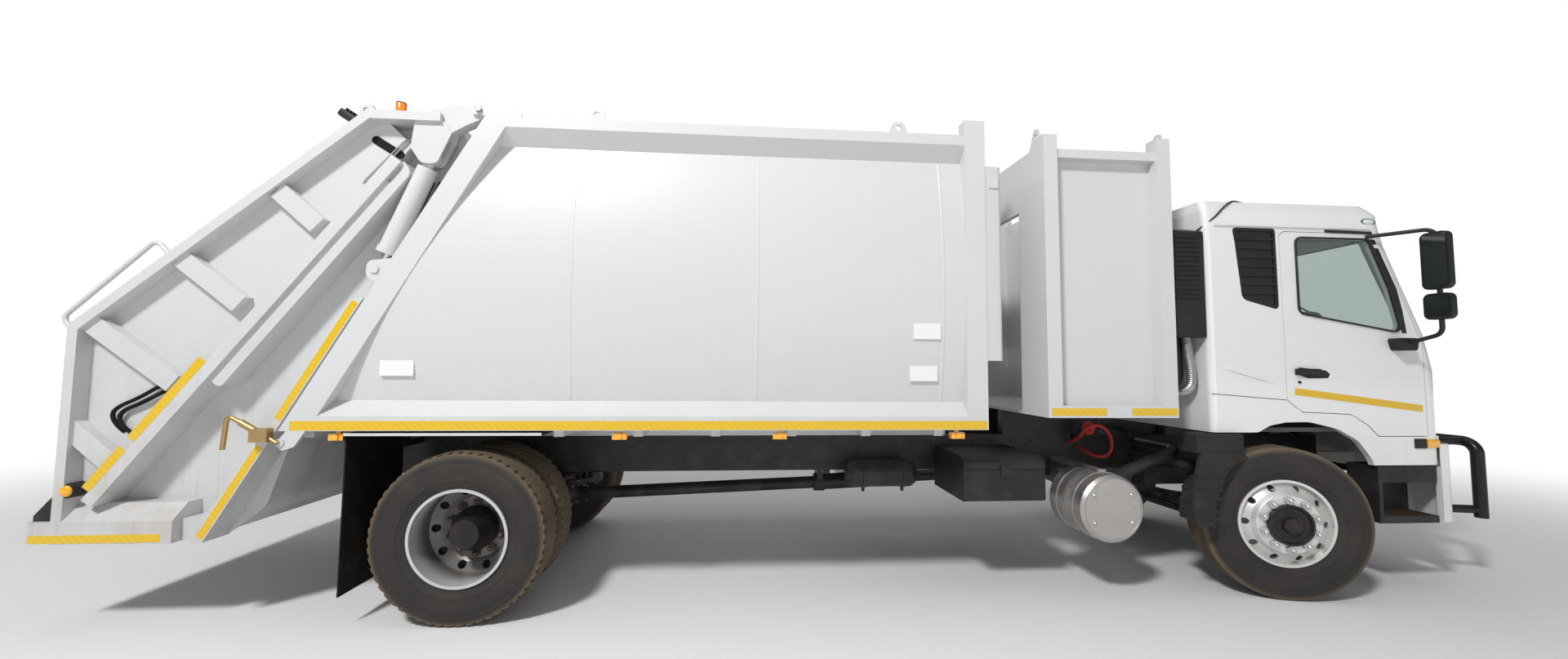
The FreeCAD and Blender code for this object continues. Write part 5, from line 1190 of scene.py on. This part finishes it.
def screenX(z, y):
    # front of the cab at height z, with its crown
    levels = screenLook["levels"]
    x = levels[-1][1]
    for (z0, x0), (z1, x1) in zip(levels, levels[1:]):
        if z <= z1:
            x = x0 + (x1 - x0) * (z - z0) / (z1 - z0)
            break
    return x + screenLook["crown"] * (1 - y ** 2)


def onScreen(y, z, proud, aside=0.0):
    return place(screenX(z, y) + proud, y + aside, z)


def screenTrim():
    corners = screenLook["corners"]
    count = screenLook["sealPoints"]
    points = []
    for (y0, z0), (y1, z1) in zip(corners, corners[1:] + corners[:1]):
        for t in (i / count for i in range(count)):
            points.append(onScreen(y0 + (y1 - y0) * t, z0 + (z1 - z0) * t, 0.002))
    tubePiece("screenSeal", points, 0.012, "truck", "rubberBlack", 0.03, True)
    for name, (y0, y1) in screenLook["wipers"].items():
        (low, high), (bottom, top) = screenLook["armSpan"], screenLook["bladeSpan"]
        base = onScreen(y0, low, 0.02)
        arm = [base, base + Vector((0.02, 0, 0.01)), onScreen(y1, high, 0.022)]
        tubePiece("wiperArm_" + name, arm, 0.008, "truck", "plasticBlack", 0.01)
        a = onScreen(y1 - 0.05, bottom, 0.010, -0.05)
        b = onScreen(y1 + 0.05, top, 0.010, 0.01)
        middle = (a + b) / 2 + Vector((0.006, 0, 0.002))
        tubePiece("wiperBlade_" + name, [a, middle, b], 0.007, "truck", "rubberBlack", 0.01)


def buildGrille(work):
    rows = []
    for y in (-0.80 + i * 0.1 for i in range(17)):
        x = screenX(1.6, y)
        rows.append([work.verts.new(place(x + dx, y, z)) for dx, z in grilleLook["section"]])
    stitched(work, rows)


def barPiece(name, start, end, count, size, finish, turn=(0, 0, 0)):
    values = {"Count": count, "Start": place(*start), "End": place(*end), "Bar size": size, "Turn": turn}
    newPiece(name, barRow.grow(name, values, finish), "truck", None)


screenTrim()
barPiece("grilleSlats", *grilleLook["slats"], 6, grilleLook["slatSize"], "plasticBlack", (0, 0.25, 0))
drawnPiece("grilleBack", buildGrille, "truck", "plasticBlack", None)
print("cab done")


# Lamps at the tail and on the roof

lensShape = [(0.0, 0.0125), (0.025, 0.0118), (0.038, 0.0095), (0.0425, 0.0)]
lensFacing = (-0.7646, 0, 0.6445)
# piece, profile, spot, facing (outwards when None) and finish
tailRounds = (
    ("tailLens_95", lensShape, (-2.309, 0.95, 0.762), lensFacing, "lensClear"),
    ("tailLens_105", lensShape, (-2.309, 1.05, 0.762), lensFacing, "lensAmber"),
    ("tailLens_114", lensShape, (-2.309, 1.15, 0.762), lensFacing, "lensRed"),
    (
        "beaconDome",
        [(0.0, 0.0840), (0.018, 0.0836), (0.027, 0.0832), (0.0308, 0.076), (0.0308, 0.0), (0.029, 0.0)],
        (-0.52, 1.10, 3.2048), (0, 0, 1), "lensOrange",
    ),
    (
        "tailBoss", [(0.0, 0.090), (0.040, 0.090), (0.043, 0.085), (0.043, 0.0)],
        (-2.192, 1.125, 0.835), None, "plasticBlack",
    ),
    (
        "tailMarker", [(0.0, 0.0185), (0.02, 0.016), (0.031, 0.008), (0.034, 0.0)],
        (-2.192, 1.2145, 0.835), None, "lensAmber",
    ),
)
for side, sign in sides.items():
    for name, profile, (x, y, z), facing, finish in tailRounds:
        way = Vector(facing or (0, sign, 0))
        spunPiece(name + "_" + side, profile, place(x, sign * y, z), way, "tailgate", finish)

workLamp = {
    "middle": (-0.815, 1.085, 3.168),
    "size": (0.150, 0.110, 0.050),
    "lean": 33,
    "fins": 5,
    "finPitch": 0.024,
    "finHalf": (0.004, 0.045, 0.012),
    "lensHalf": (0.062, 0.045, 0.003),
    "foot": [(-0.815, 1.085, 3.035), (-0.800, 1.085, 3.10), (-0.812, 1.085, 3.150)],
}
leaning = Matrix.Rotation(math.radians(workLamp["lean"]), 3, "Y")


def addLeaning(work, sign, shift, half, bevel):
    # a box of the work lamp, shifted within its leaning frame
    middle = atSide(sign, [workLamp["middle"]])[0] + leaning @ Vector(shift)
    addBox(work, middle - Vector(half), middle + Vector(half), bevel, leaning)


def buildWorkLamp(work, sign):
    addLeaning(work, sign, (0, 0, 0), Vector(workLamp["size"]) / 2, 0.014)
    for i in range(workLamp["fins"]):
        addLeaning(work, sign, ((i - 2) * workLamp["finPitch"], 0, 0.030), workLamp["finHalf"], 0.001)


def buildWorkLens(work, sign):
    addLeaning(work, sign, (0, 0, -workLamp["size"][2] / 2 - 0.001), workLamp["lensHalf"], 0.002)


sidePieces("workLamp", buildWorkLamp, "tailgate", "plasticBlack")
sidePieces("workLampLens", buildWorkLens, "tailgate", "lensClear")
for side, sign in sides.items():
    tubePiece("workLampFoot_" + side, atSide(sign, workLamp["foot"]), 0.012, "tailgate", "plasticBlack", 0.01)


# Studs on the tail step and bars on the cab's steps

stepLook = {
    "studStarts": (-1.1, -0.55, 0.0, 0.55),
    "studRun": 0.5,
    "studCount": 12,
    "studHead": 0.007,
    "barCount": 14,
    "barSize": (0.012, 0.19, 0.005),
}
studs = []
for y in stepLook["studStarts"]:
    start, end = (place(-2.345, y + run, 0.661) for run in (0, stepLook["studRun"]))
    studs.append((start, end, stepLook["studCount"], (0, 0, 0), stepLook["studHead"]))
boltPiece("stepStuds", studs, "tailgate", "tailGrey")
for side, sign in sides.items():
    ends = (6.345, sign * 1.005, 0.5465), (6.765, sign * 1.005, 0.5465)
    barPiece("cabStepBars_" + side, *ends, stepLook["barCount"], stepLook["barSize"], "stepRust")


# Hand slot high on the tailgate's side as a shallow black cup, its black being painted shade inside the hole, and
# two thin pipes beside it

slotLook = {
    "start": (-0.640, 3.022),
    "end": (-0.490, 2.930),
    "halfWidth": 0.027,
    "surface": 1.1345,
    # depth and share of the width, from ring to ring
    "rings": ((0.0, 1.0), (0.003, 1.0), (0.003, 0.84), (0.0008, 0.78)),
    "pipe": [(-0.425, 1.128, 3.035), (-0.440, 1.145, 3.018), (-0.668, 1.145, 2.750), (-0.684, 1.128, 2.732)],
    "pipeShifts": (0.0, 0.024),
    "pipeRadius": 0.0055,
}


def buildSlot(work, sign):
    start, end = slotLook["start"], slotLook["end"]
    lean = math.atan2(end[1] - start[1], end[0] - start[0])
    rings = []
    for depth, share in slotLook["rings"]:
        reach = slotLook["halfWidth"] * share
        ring = []
        for (x, z), first in ((start, math.pi / 2), (end, -math.pi / 2)):
            for i in range(12):
                turn = lean + first + math.pi * i / 11
                dx, dz = reach * math.cos(turn), reach * math.sin(turn)
                ring.append(work.verts.new(place(x + dx, sign * (slotLook["surface"] + depth), z + dz)))
        rings.append(ring)
    stitched(work, rings)


# the slot's black cup is painted shade where the hole is
sidePieces("tailSlotShade", buildSlot, "tailgate", "rubberBlack", None)
for side, sign in sides.items():
    for i, shift in enumerate(slotLook["pipeShifts"]):
        run = atSide(sign, [(x - shift, y, z) for x, y, z in slotLook["pipe"]])
        name = "tailPipe{}_{}".format(i, side)
        tubePiece(name, run, slotLook["pipeRadius"], "tailgate", "hoseSilver", 0.012)
print("lamps done")


# Hoses: lines of points made smooth

hoseRuns = {
    "guideUpper": [
        (-1.60, 1.128, 1.540), (-1.640, 1.158, 1.510), (-1.766, 1.160, 1.457), (-1.896, 1.160, 1.371),
        (-2.004, 1.160, 1.322), (-2.041, 1.160, 1.274), (-2.006, 1.155, 1.201), (-1.985, 1.128, 1.165),
    ],
    "guideLower": [
        (-1.640, 1.128, 1.495), (-1.668, 1.158, 1.462), (-1.785, 1.160, 1.396), (-1.893, 1.160, 1.335),
        (-1.980, 1.160, 1.298), (-1.998, 1.160, 1.237), (-1.949, 1.155, 1.177), (-1.930, 1.128, 1.150),
    ],
    "lift": [(-0.27, 1.07, 2.78), (-0.33, 1.075, 2.62), (-0.42, 1.075, 2.45), (-0.50, 1.07, 2.30)],
    "airRed": [
        (4.40, 0.435, 1.00), (4.40, 0.56, 1.02), (4.42, 0.63, 1.14), (4.56, 0.64, 1.15), (4.64, 0.64, 1.02),
        (4.60, 0.63, 0.90), (4.50, 0.60, 0.90), (4.46, 0.50, 0.95), (4.46, 0.435, 0.96),
    ],
    "couplingStem": [(4.43, 0.435, 1.02), (4.45, 0.50, 1.10), (4.46, 0.59, 1.12)],
    "roofCable": [
        (5.56, 0.90, 2.878), (5.44, 0.97, 2.866), (5.33, 1.045, 2.842), (5.23, 1.089, 2.785),
        (5.15, 1.103, 2.705), (5.07, 1.098, 2.645), (5.035, 1.040, 2.600),
    ],
    "breather": [
        (4.945, 1.030, 1.835), (4.955, 1.032, 1.70), (4.978, 1.032, 1.56), (4.985, 1.015, 1.46),
        (4.975, 0.92, 1.41), (4.935, 0.80, 1.425),
    ],
}
sleeveLook = {"radius": 0.034, "pitch": 0.014, "waves": (1.0, 0.93, 0.84, 0.93), "count": 16}
coupling = [
    (0.0, 0.062), (0.026, 0.062), (0.030, 0.055), (0.030, 0.036), (0.052, 0.034), (0.055, 0.026),
    (0.055, 0.010), (0.040, 0.0), (0.0, 0.0),
]


def curveMesh(name, points, fineness, radius=0.0):
    # the smooth line of its points, as a tube where it has a radius
    curve = bpy.data.curves.new(name, "CURVE")
    curve.dimensions = "3D"
    spline = curve.splines.new("NURBS")
    spline.points.add(len(points) - 1)
    for target, p in zip(spline.points, points):
        target.co = (*p, 1)
    spline.order_u = 3
    spline.use_endpoint_u = True
    curve.resolution_u = fineness
    curve.bevel_depth = radius
    curve.bevel_resolution = 3
    curve.use_fill_caps = True
    holder = held(name + "Path", curve)
    mesh = evaluated(holder)
    bpy.data.objects.remove(holder)
    return mesh


def hose(name, points, radius, body, finish):
    newPiece(name, smooth(curveMesh(name, points, 6, radius)), body, finish)


def ribbedHose(name, points, body, finish):
    # a ringed sleeve that follows the smooth line of its points
    spots = [v.co.copy() for v in curveMesh(name, points, 24).vertices]
    far = [0.0]
    for a, b in zip(spots, spots[1:]):
        far.append(far[-1] + (b - a).length)

    def at(distance):
        for i in range(len(far) - 1):
            if distance <= far[i + 1] or i == len(far) - 2:
                share = (distance - far[i]) / max(1e-6, far[i + 1] - far[i])
                return spots[i].lerp(spots[i + 1], min(1, share))

    def build(work):
        count = int(far[-1] / sleeveLook["pitch"] * 4)
        points = sleeveLook["count"]
        rings = []
        for i in range(count + 1):
            d = far[-1] * i / count
            way = (at(min(far[-1], d + 0.004)) - at(max(0, d - 0.004))).normalized()
            side = way.cross(Vector((0, 1, 0.2))).normalized()
            other = way.cross(side)
            wide = sleeveLook["radius"] * sleeveLook["waves"][i % 4]
            turns = [k * 2 * math.pi / points for k in range(points)]
            spot = at(d)
            rings.append([work.verts.new(spot + (side * math.cos(t) + other * math.sin(t)) * wide) for t in turns])
        stitched(work, rings)
    drawnPiece(name, build, body, finish, 50)


for side, sign in sides.items():
    for i, run in enumerate(("guideUpper", "guideLower")):
        hose("guideHose{}_{}".format(i, side), atSide(sign, hoseRuns[run]), 0.011, "tailgate", "rubberBlack")
    for i, shift in enumerate((0.0, 0.04)):
        points = atSide(sign, [(x - shift, y, z) for x, y, z in hoseRuns["lift"]])
        hose("liftHose{}_{}".format(i, side), points, 0.009, "lift_cylinders", "rubberBlack")
hose("airHoseRed", atSide(-1, hoseRuns["airRed"]), 0.013, "truck", "hoseRed")
spunPiece("airCoupling", coupling, place(4.46, -0.575, 1.12), Vector((0.2, -1, 0.1)), "truck", "hoseRed", 24)
hose("airCouplingStem", atSide(-1, hoseRuns["couplingStem"]), 0.014, "truck", "rubberBlack")
hose("roofCable", atSide(-1, hoseRuns["roofCable"]), 0.006, "truck", "rubberBlack")
ribbedHose("breatherHose", atSide(-1, hoseRuns["breather"]), "truck", "hoseSilver")
print("hoses done")


# Camera, solved from the photograph

photo = {"width": 1920, "focalPixels": 685.97, "sensor": 36.0}
viewer = {"place": (1.6928, -4.856, 1.6012), "yaw": 0.0816, "pitch": 0.0631, "roll": 0.0079}


def makeCamera():
    yaw, pitch, roll = viewer["yaw"], viewer["pitch"], viewer["roll"]
    ahead = Vector((math.sin(yaw) * math.cos(pitch), math.cos(yaw) * math.cos(pitch), math.sin(pitch)))
    right = Vector((math.cos(yaw), -math.sin(yaw), 0))
    up = right.cross(ahead)
    acrossView = right * math.cos(roll) + up * math.sin(roll)
    upView = up * math.cos(roll) - right * math.sin(roll)
    data = bpy.data.cameras.new("photoCamera")
    data.sensor_width = photo["sensor"]
    data.lens = photo["focalPixels"] / photo["width"] * photo["sensor"]
    data.clip_end = 400
    camera = held("photoCamera", data)
    matrix = Matrix((acrossView, upView, -ahead)).transposed().to_4x4()
    matrix.translation = place(*viewer["place"])
    camera.matrix_world = matrix
    bpy.context.scene.camera = camera


makeCamera()


# Studio

studio = {
    "floorTone": 0.80,
    "floorSize": 60.0,
    "floorFade": (5.5, 13.0),
    "worldLight": 0.20,
    # spot, target, size and power of each lamp
    "lamps": {
        "overhead": ((0, -1.0, 9.5), (0, 0, 0), (14, 8), 240),
        "key": ((-5.2, -8.4, 9.9), (0, 0, 1.2), (1.4, 1.4), 1200),
        "fill": ((4.0, -11.0, 2.6), (0.5, 0, 1.3), (9, 4), 125),
        "back": ((0, 9.0, 6.0), (0, 0, 1.5), (10, 4), 170),
    },
}


def studioFloor():
    mesh = bpy.data.meshes.new("floor")
    s = studio["floorSize"]
    mesh.from_pydata([(-s, -s, 0), (s, -s, 0), (s, s, 0), (-s, s, 0)], [], [(0, 1, 2, 3)])
    floor = held("floor", mesh)
    floor.location.z = -0.0005
    f = Finish("floorWhite")
    tone = studio["floorTone"]
    matte = f.node("BsdfDiffuse", {"Color": (tone, tone, tone, 1)})["BSDF"]
    white = f.node("Emission", {"Color": (1, 1, 1, 1), "Strength": 1.0})["Emission"]
    far = f.node("VectorMath", {0: f.position()}, operation="LENGTH")["Value"]
    share = f.steps(*studio["floorFade"], far)
    f.finished(f.node("MixShader", {0: share, 1: matte, 2: white})["Shader"])
    floor.data.materials.append(f.material)


def studioWorld():
    # white where the camera or glass looks at it, dimmer as a light
    world = bpy.data.worlds.new("studioWorld")
    bpy.context.scene.world = world
    f = Finish("studioWorld", world)
    seen, lit = (
        f.node("Background", {"Color": colour, "Strength": strength})["Background"]
        for colour, strength in (((1, 1, 1, 1), 1.0), ((0.95, 0.98, 1, 1), studio["worldLight"]))
    )
    path = f.node("LightPath")
    share = path["Is Camera Ray"].maths("MAXIMUM", path["Is Transmission Ray"])
    mixed = f.node("MixShader", {0: share, 1: lit, 2: seen})["Shader"]
    f.node("OutputWorld", {"Surface": mixed})


def areaLamp(name, spot, target, size, power):
    data = bpy.data.lights.new(name, "AREA")
    data.shape = "RECTANGLE"
    data.size, data.size_y = size
    data.energy = power
    lamp = held(name, data)
    lamp.location = spot
    lamp.rotation_euler = (Vector(target) - Vector(spot)).to_track_quat("-Z", "Y").to_euler()


studioFloor()
studioWorld()
for name, values in studio["lamps"].items():
    areaLamp(name, *values)

scene = bpy.context.scene
scene.view_settings.view_transform = "Standard"
print("studio done")
